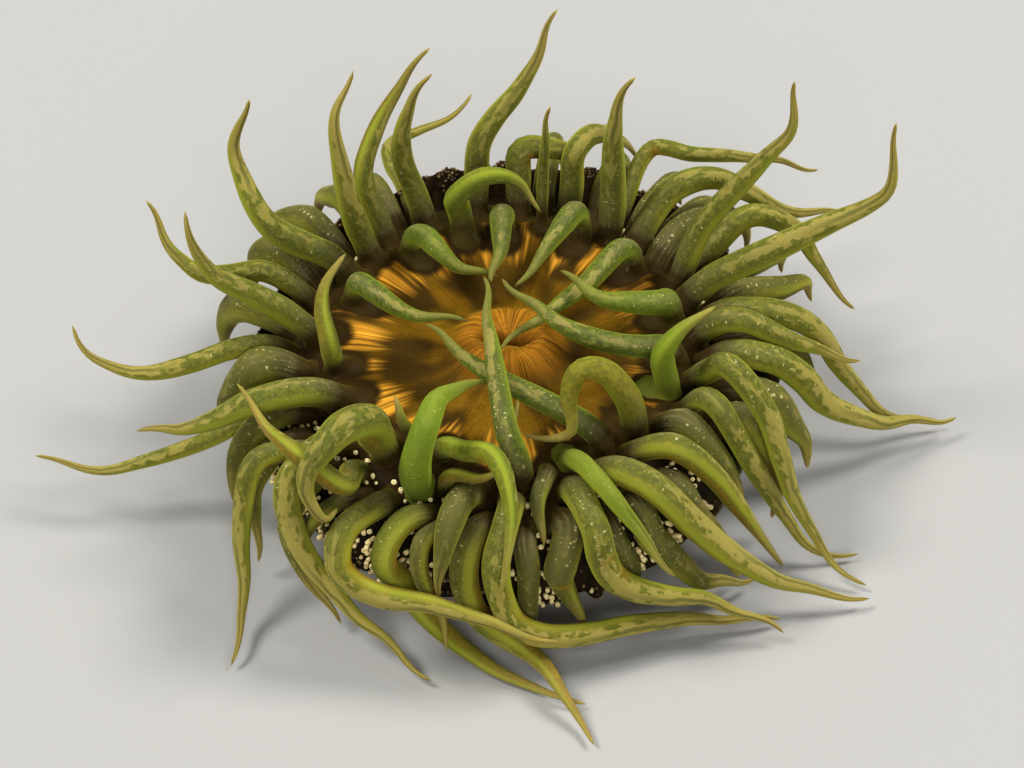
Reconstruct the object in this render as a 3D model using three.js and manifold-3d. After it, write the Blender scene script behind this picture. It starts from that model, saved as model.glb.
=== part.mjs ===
// Sand anemone with its crown of tentacles spread, a still life-size model.
// Millimetres, +Z up. The foot's underside lies on z = 0 and the column's axis is x = y = 0.
// A place on the animal is [bearing, reach, height]: degrees counter-clockwise from +X,
// distance from the column's axis, and height above the floor.
import * as THREE from 'three';
import { mergeVertices } from 'three/addons/utils/BufferGeometryUtils.js';
import Module from 'manifold-3d';

// ---- Driving dimensions ---------------------------------------------------
const GAP = 0.32; // left between two pieces that touch in life
const SIDES_ROUND = 28; // facets round the body
const FLOOR_CLEARANCE = 0.25; // a tentacle that reaches the floor lies this far above it

const FOOT = { radius: 27, height: 3, edge: 1.2, bevel: 1.4 };
const COLUMN = { waist: 24.2, waistHeight: 6, shoulder: 30.8, shoulderHeight: 12.6 };
const MOUTH = { radius: 8, lip: 5, lipHeight: 21.8, slitLength: 9, slitWidth: 2.4, slitDepth: 3 };
const DISC = { radius: 20, floor: 19, rise: 1.2, thickness: 3.4 };
const BED = { rim: 32, crest: 23, crestHeight: 20.4, rimHeight: 15.8, thickness: 3.2 };
const RUFF = { lobes: 20, reach: 36, valley: 0.6, top: 15, bottom: 7.6, lift: 3, tilt: 5 };
const RUFF_ROOT = BED.rim + 1; // from here the ruff's edge is free
// The crown isn't round: [bearing, reach] of the ruff's edge, smooth in between.
const RUFF_SPREAD = [
  [20, 39.5], [70, 36.5], [110, 35.5], [180, 34.4], [245, 34.8], [275, 33.5], [335, 34],
];

const SIDES_TENTACLE = 6;
const STATION_SPACING = 7; // along a straight tentacle; less where it bends
const BEND_WEIGHT = 2.3; // how strongly a bend draws stations together
const TIP_RADIUS = 0.36;
const ROOT_SWELL = 0.9; // a tentacle's radius at its root, as a share of its thickest
const TAPER_POWER = 2.1;
const ROOT_MARGIN = 0.7; // from a root's side to the edge of the bed
const ROOT_LEAN = 0.55; // 0 leaves the bed upright, 1 straight towards the next place
const ROOT_LIFT = 0.8; // how far it keeps that direction, in thicknesses
const ROOT_SUNK = 0.9; // depth of a short tentacle's root inside the bed
const ROUTE_STEPS = 160; // fine steps in which a route is measured

// Settling the pose: the tentacles push one another and the body apart in rounds.
const ROUNDS = 260;
const EASING = 0.35; // share of a kink that one round takes away, at first
const SPREAD_UNTIL = 0.5; // share of the rounds in which the roots still slide
const EASE_UNTIL = 0.8;
const BODY_PUSH = 0.6; // share of a lack of room that one round makes up
const NEAR = 3; // tentacles whose boxes are further apart aren't compared
const OWN_BANDS = 3; // bands between two parts of one tentacle that are compared

// ---- The pose -------------------------------------------------------------
// One row for each tentacle: its thickness, its root as [bearing, reach] on the
// bed, then the places that its axis passes through, the last one at its tip.
const LONG_TENTACLES = [
  [3.7, [0, 26], [355, 30, 24], [355, 38, 20], [358, 47, 15]],
  [3.7, [12, 27], [5, 33, 23], [4, 40, 20], [4, 46, 10], [2, 52, 4], [3, 60, 1]],
  [3.7, [15, 22], [8, 20, 25], [5, 12, 27], [40, 9, 27]],
  [4.1, [20, 26], [15, 31, 26], [11, 43, 34], [11, 50, 38], [13, 51, 48]],
  [3.6, [29, 27], [29, 30, 27], [26, 36, 36], [25, 41, 42], [25, 41, 50]],
  [3.7, [34, 30], [32, 38, 25], [28, 44, 22], [25, 48, 14], [22, 52, 8]],
  [3.3, [40, 23], [39, 20, 26], [26, 12, 27], [350, 4, 26], [265, 6, 26]],
  [3.9, [47, 28], [46, 34, 25], [42, 39, 26], [34, 47, 20], [31, 56, 17]],
  [4.0, [54, 27], [55, 28, 31], [55, 28, 40], [51, 29, 46]],
  [2.6, [60, 31], [60, 40, 24], [53, 42, 24], [47, 51, 20], [43, 61, 14]],
  [3.6, [65, 23], [64, 20, 27], [65, 12, 27], [79, 5, 26]],
  [3.7, [72, 30], [72, 31, 28], [69, 37, 24], [66, 42, 16]],
  [1.8, [79, 24], [79, 25, 30], [78, 25, 36], [77, 25, 40]],
  [3.9, [86, 28], [85, 31, 27], [74, 34, 25], [68, 43, 24]],
  [3.7, [92, 22], [93, 18, 26], [96, 11, 26], [111, 6, 26]],
  [3.7, [99, 28], [97, 31, 29], [87, 34, 36], [80, 38, 46]],
  [3.6, [106, 23], [109, 22, 27], [99, 21, 31], [86, 22, 29], [78, 21, 25]],
  [3.6, [115, 27], [120, 29, 32], [117, 28, 41], [112, 27, 45]],
  [2.1, [116, 31], [113, 42, 19], [102, 44, 20], [96, 47, 22]],
  [3.7, [126, 21], [128, 18, 26], [131, 14, 27], [125, 11, 25], [101, 9, 24]],
  [3.2, [129, 27], [132, 30, 30], [121, 32, 38], [111, 30, 47]],
  [3.9, [137, 26], [147, 25, 32], [146, 27, 42], [143, 28, 46], [136, 28, 50]],
  [4.0, [148, 26], [153, 32, 24], [156, 36, 28], [151, 42, 36], [149, 40, 44]],
  [3.4, [158, 22], [165, 20, 26], [182, 13, 26], [199, 6, 26]],
  [3.3, [163, 28], [166, 34, 23], [170, 42, 24], [167, 47, 27], [165, 50, 32]],
  [3.9, [173, 28], [176, 34, 26], [177, 41, 32], [175, 43, 40]],
  [3.1, [181, 28], [185, 35, 21], [188, 46, 20], [186, 53, 21], [183, 56, 25]],
  [3.1, [191, 23], [198, 24, 27], [187, 24, 32], [177, 21, 35]],
  [2.6, [199, 30], [199, 38, 15], [195, 47, 10], [193, 56, 8], [190, 63, 9]],
  [4.4, [205, 26], [202, 36, 21], [200, 44, 18], [196, 51, 16]],
  [3.3, [213, 30], [212, 38, 20], [215, 42, 12], [222, 46, 4], [227, 52, 1]],
  [3.7, [219, 30], [224, 40, 21], [228, 41, 14], [238, 40, 6], [256, 43, 1]],
  [3.3, [227, 31], [233, 36, 23], [225, 38, 27], [213, 37, 25], [205, 38, 28]],
  [5.3, [230, 25], [233, 29, 29], [233, 34, 32], [231, 39, 27], [234, 39, 21], [234, 36, 20]],
  [4.3, [243, 29], [246, 31, 27], [248, 29, 32], [248, 24, 32], [260, 16, 28]],
  [3.8, [240, 30], [237, 37, 19], [238, 39, 16], [243, 38, 13], [257, 36, 12], [270, 37, 10], [280, 37, 7]],
  [3.1, [247, 22], [256, 24, 25], [267, 26, 27], [271, 31, 24], [269, 36, 14]],
  [2.2, [252, 26], [255, 28, 23], [263, 28, 23], [269, 26, 23]],
  [3.8, [250, 29], [246, 34, 18], [246, 36, 15], [250, 35, 11], [260, 36, 3], [272, 41, 1], [283, 46, 1]],
  [4.1, [267, 28], [262, 32, 18], [262, 33, 14], [265, 34, 9], [270, 35, 6], [277, 38, 4], [283, 50, 1]],
  [3.8, [272, 28], [271, 32, 17], [270, 33, 13], [274, 35, 8], [282, 36, 6], [302, 38, 5], [321, 46, 1]],
  [3.3, [276, 26], [271, 26, 27], [264, 15, 29], [180, 3, 29]],
  [4.1, [286, 27], [284, 32, 18], [286, 33, 14], [290, 35, 11], [297, 37, 9], [308, 40, 6], [316, 47, 1]],
  [2.9, [289, 24], [289, 31, 24], [296, 36, 18], [301, 39, 12]],
  [4.4, [297, 25], [303, 33, 22], [311, 39, 14], [321, 46, 5], [329, 54, 1]],
  [3.3, [303, 21], [284, 17, 27], [260, 14, 29], [195, 11, 27]],
  [3.8, [311, 25], [315, 30, 24], [321, 34, 19], [326, 38, 10], [330, 42, 1]],
  [3.9, [320, 22], [311, 22, 30], [304, 20, 33], [297, 20, 30], [294, 22, 25], [279, 20, 24]],
  [3.3, [330, 24], [328, 28, 25], [329, 34, 17], [332, 38, 9], [332, 43, 3], [336, 49, 1]],
  [3.8, [336, 21], [332, 22, 28], [337, 24, 32], [343, 27, 34]],
  [3.6, [341, 26], [336, 31, 27], [335, 36, 22], [332, 41, 12], [331, 47, 4], [331, 53, 1]],
  [3.4, [352, 21], [337, 16, 26], [326, 9, 28], [99, 4, 28]],
  [4.3, [354, 27], [350, 34, 21], [351, 38, 18], [353, 42, 12], [357, 50, 6], [2, 61, 2]],
];
// These are small or lie outermost, and are one piece with the bed.
const SHORT_TENTACLES = [
  [4.0, [5, 31], [4, 35, 15], [4, 38, 10], [5, 39, 5]],
  [4.6, [20, 28], [20, 37, 19], [21, 42, 18], [22, 44, 13]],
  [4.0, [26, 30], [26, 38, 19], [27, 42, 18], [28, 43, 14]],
  [4.8, [34, 29], [35, 37, 20], [36, 44, 16], [37, 46, 9]],
  [3.6, [46, 31], [46, 38, 19], [47, 42, 15], [47, 43, 9]],
  [4.2, [55, 30], [55, 38, 20], [56, 42, 17], [57, 44, 11]],
  [3.4, [67, 31], [67, 37, 19], [66, 40, 15], [66, 41, 9]],
  [3.4, [80, 31], [80, 37, 19], [79, 40, 15], [79, 41, 9]],
  [3.2, [121, 31], [121, 36, 17], [122, 39, 15]],
  [3.8, [130, 31], [130, 36, 17], [129, 39, 14], [129, 40, 8]],
  [4.2, [140, 31], [140, 36, 18], [141, 40, 15], [142, 40, 10]],
  [4.8, [152, 29], [152, 34, 19], [151, 36, 15], [151, 37, 10]],
  [5.4, [171, 29], [168, 34, 18], [167, 36, 13], [166, 37, 8]],
  [5.8, [186, 28], [186, 34, 18], [185, 37, 13], [184, 37, 7]],
  [4.6, [205, 30], [205, 36, 18], [204, 39, 13], [204, 40, 5]],
  [3.2, [211, 30], [213, 38, 14], [215, 39, 8], [217, 40, 3]],
  [3.3, [222, 31], [224, 38, 15], [228, 39, 9], [237, 39, 2]],
  [2.6, [232, 31], [225, 36, 14], [222, 37, 6]],
  [2.0, [236, 21], [234, 23, 24], [228, 22, 27]],
  [2.8, [256, 29], [252, 34, 19], [252, 35, 15], [254, 35, 11], [257, 35, 7], [258, 36, 3]],
  [4.0, [261, 27], [258, 32, 17], [258, 33, 13], [258, 34, 8]],
  [1.5, [272, 21], [272, 22, 25], [276, 18, 28]],
  [2.6, [279, 25], [278, 29, 19], [277, 32, 15]],
  [3.2, [275, 31], [273, 34, 8], [274, 34, 3], [290, 36, 2]],
  [4.4, [281, 29], [281, 32, 16], [284, 33, 11], [286, 34, 6]],
  [4.0, [290, 28], [290, 32, 17], [293, 34, 13], [294, 34, 8]],
  [4.2, [298, 29], [297, 35, 18], [302, 36, 13], [307, 38, 8], [320, 40, 3]],
  [4.6, [310, 27], [311, 32, 18], [316, 36, 11], [320, 37, 4]],
  [4.4, [328, 24], [327, 28, 22], [328, 33, 17], [328, 36, 11]],
  [4.8, [338, 27], [337, 32, 19], [336, 36, 13], [335, 36, 5]],
  [5.2, [347, 29], [349, 34, 16], [351, 37, 11], [352, 38, 5]],
];

// ---- Places and profiles --------------------------------------------------
function place(bearing, reach, height) {
  const angle = THREE.MathUtils.degToRad(bearing);
  return new THREE.Vector3(reach * Math.cos(angle), reach * Math.sin(angle), height);
}

// Height of the crown's upper surface at a distance from the axis.
function crownHeight(reach) {
  if (reach <= DISC.radius) {
    const across = Math.max(reach - MOUTH.radius, 0) / (DISC.radius - MOUTH.radius);
    return DISC.floor + DISC.rise * across * across;
  }
  if (reach <= BED.crest) {
    return THREE.MathUtils.mapLinear(
      reach, DISC.radius, BED.crest, DISC.floor + DISC.rise, BED.crestHeight);
  }
  return THREE.MathUtils.mapLinear(reach, BED.crest, BED.rim, BED.crestHeight, BED.rimHeight);
}

function crownNormal(point) {
  const reach = Math.hypot(point.x, point.y);
  const slope = crownHeight(reach + 0.5) - crownHeight(reach - 0.5);
  return new THREE.Vector3(-slope * point.x / reach, -slope * point.y / reach, 1).normalize();
}

// How far the ruff reaches in the direction of a place.
function ruffReach(x, y) {
  const bearing = THREE.MathUtils.radToDeg(Math.atan2(y, x));
  for (let i = 0; i < RUFF_SPREAD.length; i += 1) {
    const [from, reach] = RUFF_SPREAD[i];
    const [to, next] = RUFF_SPREAD[(i + 1) % RUFF_SPREAD.length];
    const past = THREE.MathUtils.euclideanModulo(bearing - from, 360);
    const span = THREE.MathUtils.euclideanModulo(to - from, 360);
    if (past < span) return reach + (next - reach) * THREE.MathUtils.smoothstep(past, 0, span);
  }
  return RUFF.reach;
}

// How far out on the ruff a reach is, from 0 at its root to 1 at its edge.
function ruffShare(reach, edge) {
  return THREE.MathUtils.clamp((reach - RUFF_ROOT) / (edge - RUFF_ROOT), 0, 1);
}

// The ruff's edge stands up behind (+Y) and hangs down in front.
function ruffLift(x, y, share) {
  return share * (RUFF.lift + RUFF.tilt * y / Math.hypot(x, y));
}

const columnProfile = [
  [0, FOOT.height + GAP],
  [COLUMN.waist + 1, FOOT.height + GAP],
  [COLUMN.waist, COLUMN.waistHeight],
  [COLUMN.waist + 2, COLUMN.waistHeight + 3],
  [COLUMN.shoulder, COLUMN.shoulderHeight - GAP],
  [DISC.radius, crownHeight(DISC.radius) - DISC.thickness - GAP],
  [MOUTH.radius, crownHeight(MOUTH.radius) - DISC.thickness - GAP],
  [0, crownHeight(MOUTH.radius) - DISC.thickness - GAP],
];
// The ruff's free edge, from below to above.
const ruffEdge = [
  [RUFF_ROOT + 0.5, RUFF.bottom],
  [RUFF.reach, RUFF.bottom + 1.6],
  [RUFF.reach - 0.8, RUFF.bottom + 4.4],
];
const ruffProfile = [
  [BED.rim + GAP, RUFF.top],
  [BED.rim + GAP, COLUMN.shoulderHeight - 0.2],
  [COLUMN.waist + 3, COLUMN.waistHeight + 3.2],
  ...ruffEdge,
];
// The body's outline that tentacles keep clear of, from the mouth down to the foot.
const bodyOutline = [
  [0, MOUTH.lipHeight],
  [MOUTH.lip, MOUTH.lipHeight],
  [MOUTH.radius, crownHeight(MOUTH.radius)],
  [DISC.radius, crownHeight(DISC.radius)],
  [BED.crest, BED.crestHeight],
  [BED.rim, BED.rimHeight],
  ...[...ruffEdge].reverse(),
  [COLUMN.waist + 2, COLUMN.waistHeight + 1],
  [FOOT.radius, FOOT.edge],
  [FOOT.radius, 0],
];

// ---- Solids ---------------------------------------------------------------
// Merges shared corners and drops the triangles that a lathe collapses on its axis.
function weld(geometry) {
  geometry.deleteAttribute('normal');
  geometry.deleteAttribute('uv');
  const merged = mergeVertices(geometry, 1e-4);
  const corners = merged.getIndex().array;
  const kept = [];
  for (let i = 0; i < corners.length; i += 3) {
    const [a, b, c] = [corners[i], corners[i + 1], corners[i + 2]];
    if (a !== b && b !== c && c !== a) kept.push(a, b, c);
  }
  merged.setIndex(kept);
  return merged;
}

// A profile of [reach, height] turned about the column's axis. A profile that
// leaves the axis alone closes on itself and makes a ring.
function turned(profile, sides) {
  const onAxis = profile[0][0] === 0;
  const loop = onAxis ? profile : [...profile, profile[0]];
  const points = loop.map(([reach, height]) => new THREE.Vector2(reach, height));
  const geometry = new THREE.LatheGeometry(points, sides);
  geometry.rotateX(Math.PI / 2);
  return weld(geometry);
}

const wasm = await Module();
wasm.setup();

function toSolid(geometry) {
  return new wasm.Manifold(new wasm.Mesh({
    numProp: 3,
    vertProperties: new Float32Array(geometry.getAttribute('position').array),
    triVerts: new Uint32Array(geometry.getIndex().array),
  }));
}

function toGeometry(solid) {
  const mesh = solid.getMesh();
  const geometry = new THREE.BufferGeometry();
  const corners = new Float32Array(mesh.vertProperties);
  geometry.setAttribute('position', new THREE.BufferAttribute(corners, 3));
  geometry.setIndex(Array.from(mesh.triVerts));
  return geometry;
}

function footGeometry() {
  return turned([
    [0, 0],
    [FOOT.radius - FOOT.bevel, 0],
    [FOOT.radius, FOOT.edge],
    [FOOT.radius - FOOT.bevel, FOOT.height],
    [0, FOOT.height],
  ], SIDES_ROUND);
}

function discGeometry() {
  const inner = MOUTH.radius + GAP;
  const middle = (MOUTH.radius + DISC.radius) / 2;
  const outer = DISC.radius;
  return turned([
    [inner, crownHeight(inner) - DISC.thickness],
    [outer, crownHeight(outer) - DISC.thickness],
    [outer, crownHeight(outer)],
    [middle, crownHeight(middle)],
    [inner, crownHeight(inner)],
  ], SIDES_ROUND);
}

// The lips stand round a slit that opens upwards.
function mouthGeometry() {
  const base = crownHeight(0) - DISC.thickness;
  const lips = toSolid(turned([
    [0, base],
    [MOUTH.radius, base],
    [MOUTH.radius, crownHeight(MOUTH.radius)],
    [MOUTH.lip, MOUTH.lipHeight],
    [0, MOUTH.lipHeight - 0.5],
  ], SIDES_ROUND / 2));
  // Its middle lies on the lips' top, so that half of its height cuts them.
  const slit = new THREE.CylinderGeometry(1, 0.5, MOUTH.slitDepth * 2, SIDES_ROUND / 2);
  slit.scale(MOUTH.slitLength / 2, 1, MOUTH.slitWidth / 2);
  slit.rotateX(Math.PI / 2);
  slit.translate(0, 0, MOUTH.lipHeight);
  return toGeometry(lips.subtract(toSolid(weld(slit))));
}

// A ring round the column, drawn to its reach in each direction and pinched in between
// its lobes by a share of its free width.
function ruffGeometry() {
  const geometry = turned(ruffProfile, RUFF.lobes * 2);
  const position = geometry.getAttribute('position');
  for (let i = 0; i < position.count; i += 1) {
    const [x, y, z] = [position.getX(i), position.getY(i), position.getZ(i)];
    const reach = Math.hypot(x, y);
    const share = ruffShare(reach, RUFF.reach);
    const between = (1 - Math.cos(Math.atan2(y, x) * RUFF.lobes)) / 2;
    const width = (ruffReach(x, y) - RUFF_ROOT) * (1 - RUFF.valley * between);
    const drawn = 1 + share * (RUFF_ROOT + width - RUFF.reach) / reach;
    position.setXYZ(i, x * drawn, y * drawn, z + ruffLift(x, y, share));
  }
  return geometry;
}

// ---- Tentacles ------------------------------------------------------------
function tentacleRadius(thickness, along) {
  const swell = THREE.MathUtils.lerp(ROOT_SWELL, 1, Math.min(along / 0.2, 1));
  const taper = THREE.MathUtils.lerp(thickness / 2, TIP_RADIUS, along ** TAPER_POWER);
  return Math.max(swell * taper, TIP_RADIUS);
}

// The nearest place just over the bed where a root of this radius stands whole.
function rootPlace(point, radius) {
  const margin = radius + ROOT_MARGIN;
  const reach = THREE.MathUtils.clamp(
    Math.hypot(point.x, point.y), DISC.radius + margin, BED.rim - margin);
  return point.clone().setZ(0).setLength(reach).setZ(crownHeight(reach) + GAP);
}

// Stations along a smooth route through the row's places, closer where it bends.
function layOut([thickness, root, ...places]) {
  const start = rootPlace(place(root[0], root[1], 0), tentacleRadius(thickness, 0));
  const onward = place(...places[0]).sub(start).normalize();
  const leaving = crownNormal(start).lerp(onward, ROOT_LEAN).normalize();
  const lift = start.clone().addScaledVector(leaving, thickness * ROOT_LIFT);
  const route = new THREE.CatmullRomCurve3(
    [start, lift, ...places.map((knot) => place(...knot))], false, 'centripetal');
  const dense = route.getSpacedPoints(ROUTE_STEPS);
  const step = route.getLength() / ROUTE_STEPS;
  const weight = [0];
  for (let i = 1; i <= ROUTE_STEPS; i += 1) {
    const before = dense[Math.max(i - 2, 0)];
    const after = dense[Math.min(i + 1, ROUTE_STEPS)];
    const middle = dense[i - 1].clone().add(dense[i]).multiplyScalar(0.5);
    const turn = middle.clone().sub(before).angleTo(after.clone().sub(middle));
    weight.push(weight[i - 1] + step / STATION_SPACING + BEND_WEIGHT * turn / Math.PI);
  }
  const total = weight[ROUTE_STEPS];
  const bands = Math.max(3, Math.round(total));
  const points = [];
  const radii = [];
  let at = 0;
  for (let band = 0; band <= bands; band += 1) {
    const wanted = total * band / bands;
    while (at < ROUTE_STEPS && weight[at] < wanted - 1e-9) at += 1;
    points.push(dense[at].clone());
    radii.push(tentacleRadius(thickness, at / ROUTE_STEPS));
  }
  return { points, radii, rest: points.map((point) => point.clone()) };
}

// Nearest points of two segments, as shares of each, with the way from one to the other.
const [edgeA, edgeB, apart] = [new THREE.Vector3(), new THREE.Vector3(), new THREE.Vector3()];
function nearest(a0, a1, b0, b1) {
  edgeA.subVectors(a1, a0);
  edgeB.subVectors(b1, b0);
  apart.subVectors(a0, b0);
  const [aa, bb, ab] = [edgeA.lengthSq(), edgeB.lengthSq(), edgeA.dot(edgeB)];
  const [ac, bc] = [edgeA.dot(apart), edgeB.dot(apart)];
  const slant = aa * bb - ab * ab;
  const clamp = (share) => THREE.MathUtils.clamp(share, 0, 1);
  let s = slant > 1e-9 ? clamp((ab * bc - ac * bb) / slant) : 0;
  const t = clamp((ab * s + bc) / bb);
  s = clamp((ab * t - ac) / aa);
  apart.addScaledVector(edgeA, s).addScaledVector(edgeB, -t);
  return [s, t, apart.length()];
}

// Moves the two ends of a segment so that the point at a share of it moves by a push.
function shift(tentacle, band, share, push) {
  const ends = [[band, 1 - share], [band + 1, share]];
  for (const [station, part] of ends) {
    if (station > 0) tentacle.points[station].addScaledVector(push, part);
  }
}

function pushApart(one, bandOne, two, bandTwo) {
  const [s, t, distance] = nearest(
    one.points[bandOne], one.points[bandOne + 1], two.points[bandTwo], two.points[bandTwo + 1]);
  const wanted = THREE.MathUtils.lerp(one.radii[bandOne], one.radii[bandOne + 1], s)
    + THREE.MathUtils.lerp(two.radii[bandTwo], two.radii[bandTwo + 1], t) + GAP;
  if (distance >= wanted) return;
  const way = distance > 1e-3 ? apart.clone().divideScalar(distance) : new THREE.Vector3(0, 0, 1);
  way.multiplyScalar((wanted - distance) * 0.5);
  shift(one, bandOne, s, way);
  shift(two, bandTwo, t, way.negate());
}

// Roots slide over the bed until they stand clear of one another.
function spreadRoots(tentacles) {
  for (const one of tentacles) {
    for (const two of tentacles) {
      if (one === two) continue;
      const way = one.points[0].clone().sub(two.points[0]);
      const wanted = one.radii[0] + two.radii[0] + 2 * GAP;
      if (way.length() >= wanted) continue;
      const push = way.clone().setLength((wanted - way.length()) * 0.5);
      moveRoot(one, push);
      moveRoot(two, push.negate());
    }
  }
}

function moveRoot(tentacle, push) {
  const root = rootPlace(tentacle.points[0].clone().add(push), tentacle.radii[0]);
  tentacle.points[1].add(root).sub(tentacle.points[0]);
  tentacle.points[0].copy(root);
}

// Signed distance of a point from the body's outline in its own half-plane, positive
// outside, with the outward direction.
function fromBody(point) {
  const reach = Math.hypot(point.x, point.y);
  const edge = ruffReach(point.x, point.y);
  const height = point.z - ruffLift(point.x, point.y, ruffShare(reach, edge));
  const outline = bodyOutline.map(
    ([r, z]) => [r + ruffShare(r, RUFF.reach) * (edge - RUFF.reach), z]);
  let best = { distance: Infinity };
  for (let i = 0; i + 1 < outline.length; i += 1) {
    const [r0, z0] = outline[i];
    const [r1, z1] = outline[i + 1];
    const [dr, dz] = [r1 - r0, z1 - z0];
    const share = THREE.MathUtils.clamp(
      ((reach - r0) * dr + (height - z0) * dz) / (dr * dr + dz * dz), 0, 1);
    const [wayR, wayZ] = [reach - r0 - share * dr, height - z0 - share * dz];
    const distance = Math.hypot(wayR, wayZ);
    if (distance < Math.abs(best.distance)) {
      const outside = wayR * -dz + wayZ * dr >= 0 ? 1 : -1;
      best = { distance: outside * distance, out: [wayR, wayZ], outside };
    }
  }
  return best;
}

// Tests three places on every band, and keeps the stations off the floor.
function keepOffBody(tentacle) {
  const { points, radii } = tentacle;
  for (let band = 0; band + 1 < points.length; band += 1) {
    for (const share of band === 0 ? [1] : [0.33, 0.67, 1]) {
      const point = points[band].clone().lerp(points[band + 1], share);
      const reach = Math.hypot(point.x, point.y);
      const body = fromBody(point);
      const lack = THREE.MathUtils.lerp(radii[band], radii[band + 1], share) + GAP - body.distance;
      if (lack <= 0 || Math.abs(body.distance) < 1e-6) continue;
      const scale = lack * BODY_PUSH * body.outside / Math.hypot(...body.out);
      const push = new THREE.Vector3(point.x / reach, point.y / reach, 0)
        .multiplyScalar(body.out[0] * scale).setZ(body.out[1] * scale);
      shift(tentacle, band, share, push);
    }
  }
  points.forEach((point, station) => {
    if (station > 0) point.z = Math.max(point.z, radii[station] + FLOOR_CLEARANCE);
  });
}

// Evens out how far neighbouring stations have moved, so that a push bends the
// tentacle gently instead of kinking it.
function easeBends(tentacle, share) {
  const moved = tentacle.points.map((point, i) => point.clone().sub(tentacle.rest[i]));
  const last = moved.length - 1;
  for (let i = 1; i <= last; i += 1) {
    const before = moved[i - 1];
    const after = moved[Math.min(i + 1, last)];
    const even = before.clone().add(after).multiplyScalar(0.5);
    tentacle.points[i].addScaledVector(even.sub(moved[i]), share);
  }
}

function pushAllApart(one, two) {
  for (let a = 0; a + 1 < one.points.length; a += 1) {
    const first = one === two ? a + OWN_BANDS : 0;
    for (let b = first; b + 1 < two.points.length; b += 1) {
      pushApart(one, a, two, b);
    }
  }
}

function settle(tentacles) {
  for (let round = 0; round < ROUNDS; round += 1) {
    const calm = round / ROUNDS;
    if (calm < SPREAD_UNTIL) spreadRoots(tentacles);
    if (calm < EASE_UNTIL) {
      tentacles.forEach((tentacle) => easeBends(tentacle, EASING * (1 - calm)));
    }
    const boxes = tentacles.map(
      ({ points }) => new THREE.Box3().setFromPoints(points).expandByScalar(NEAR));
    for (let i = 0; i < tentacles.length; i += 1) {
      for (let j = i; j < tentacles.length; j += 1) {
        if (boxes[i].intersectsBox(boxes[j])) pushAllApart(tentacles[i], tentacles[j]);
      }
    }
    tentacles.forEach(keepOffBody);
  }
}

// Rings of corners at the stations, a flat cap at the root and one corner at the tip.
// The root is sunk by the given depth.
function tentacleGeometry({ points, radii }, sink) {
  const count = points.length;
  const along = points.map((point, i) => {
    if (i === 0) return crownNormal(point);
    const next = points[Math.min(i + 1, count - 1)].clone().sub(point).normalize();
    return next.add(point.clone().sub(points[i - 1]).normalize()).normalize();
  });
  const start = points[0].clone().addScaledVector(along[0], -sink);
  const corners = [];
  let side = new THREE.Vector3(-points[0].x, -points[0].y, 0);
  for (let i = 0; i < count; i += 1) {
    side.addScaledVector(along[i], -side.dot(along[i])).normalize();
    const across = along[i].clone().cross(side);
    for (let k = 0; k < SIDES_TENTACLE; k += 1) {
      const turn = (k / SIDES_TENTACLE) * Math.PI * 2;
      corners.push((i === 0 ? start : points[i]).clone()
        .addScaledVector(side, radii[i] * Math.cos(turn))
        .addScaledVector(across, radii[i] * Math.sin(turn)));
    }
  }
  corners.push(points[count - 1].clone().addScaledVector(along[count - 1], TIP_RADIUS));
  const faces = [];
  for (let i = 0; i + 1 < count; i += 1) {
    for (let k = 0; k < SIDES_TENTACLE; k += 1) {
      const [low, high] = [i * SIDES_TENTACLE, (i + 1) * SIDES_TENTACLE];
      const next = (k + 1) % SIDES_TENTACLE;
      faces.push(low + k, low + next, high + next, low + k, high + next, high + k);
    }
  }
  const [top, tip] = [(count - 1) * SIDES_TENTACLE, corners.length - 1];
  for (let k = 0; k < SIDES_TENTACLE; k += 1) {
    faces.push(top + k, top + (k + 1) % SIDES_TENTACLE, tip);
  }
  for (let k = 1; k + 1 < SIDES_TENTACLE; k += 1) {
    faces.push(0, k + 1, k);
  }
  const geometry = new THREE.BufferGeometry().setFromPoints(corners);
  geometry.setIndex(faces);
  return geometry;
}

// The bed carries the short outer tentacles as one piece with it.
function bedGeometry(shortTentacles) {
  const inner = DISC.radius + GAP;
  let bed = toSolid(turned([
    [inner, crownHeight(inner) - BED.thickness],
    [COLUMN.shoulder, COLUMN.shoulderHeight],
    [BED.rim, COLUMN.shoulderHeight + 1],
    [BED.rim, BED.rimHeight],
    [BED.crest, BED.crestHeight],
    [inner, crownHeight(inner)],
  ], SIDES_ROUND));
  for (const tentacle of shortTentacles) {
    bed = bed.add(toSolid(tentacleGeometry(tentacle, GAP + ROOT_SUNK)));
  }
  return toGeometry(bed);
}

// ---- Materials and assembly -----------------------------------------------
function flesh(color, roughness) {
  return new THREE.MeshStandardMaterial({ color, roughness, metalness: 0 });
}

const material = {
  tentacle: flesh(0x7c8a2c, 0.35),
  disc: flesh(0x8a5a22, 0.4),
  lip: flesh(0xb87a34, 0.4),
  ruff: flesh(0x2c2618, 0.55),
  column: flesh(0x9a8a5c, 0.55),
};

const anemone = new THREE.Group();

function add(name, geometry, look) {
  const mesh = new THREE.Mesh(geometry, look);
  mesh.name = name;
  anemone.add(mesh);
}

const long = LONG_TENTACLES.map(layOut);
const short = SHORT_TENTACLES.map(layOut);
settle([...long, ...short]);

add('pedal_disc', footGeometry(), material.column);
add('column', turned(columnProfile, SIDES_ROUND), material.column);
add('ruff', ruffGeometry(), material.ruff);
add('tentacle_bed', bedGeometry(short), material.tentacle);
add('oral_disc', discGeometry(), material.disc);
add('mouth', mouthGeometry(), material.lip);
long.forEach((tentacle, i) => {
  const number = String(i + 1).padStart(2, '0');
  add(`tentacle_${number}`, tentacleGeometry(tentacle, 0), material.tentacle);
});

export default anemone;
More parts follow.
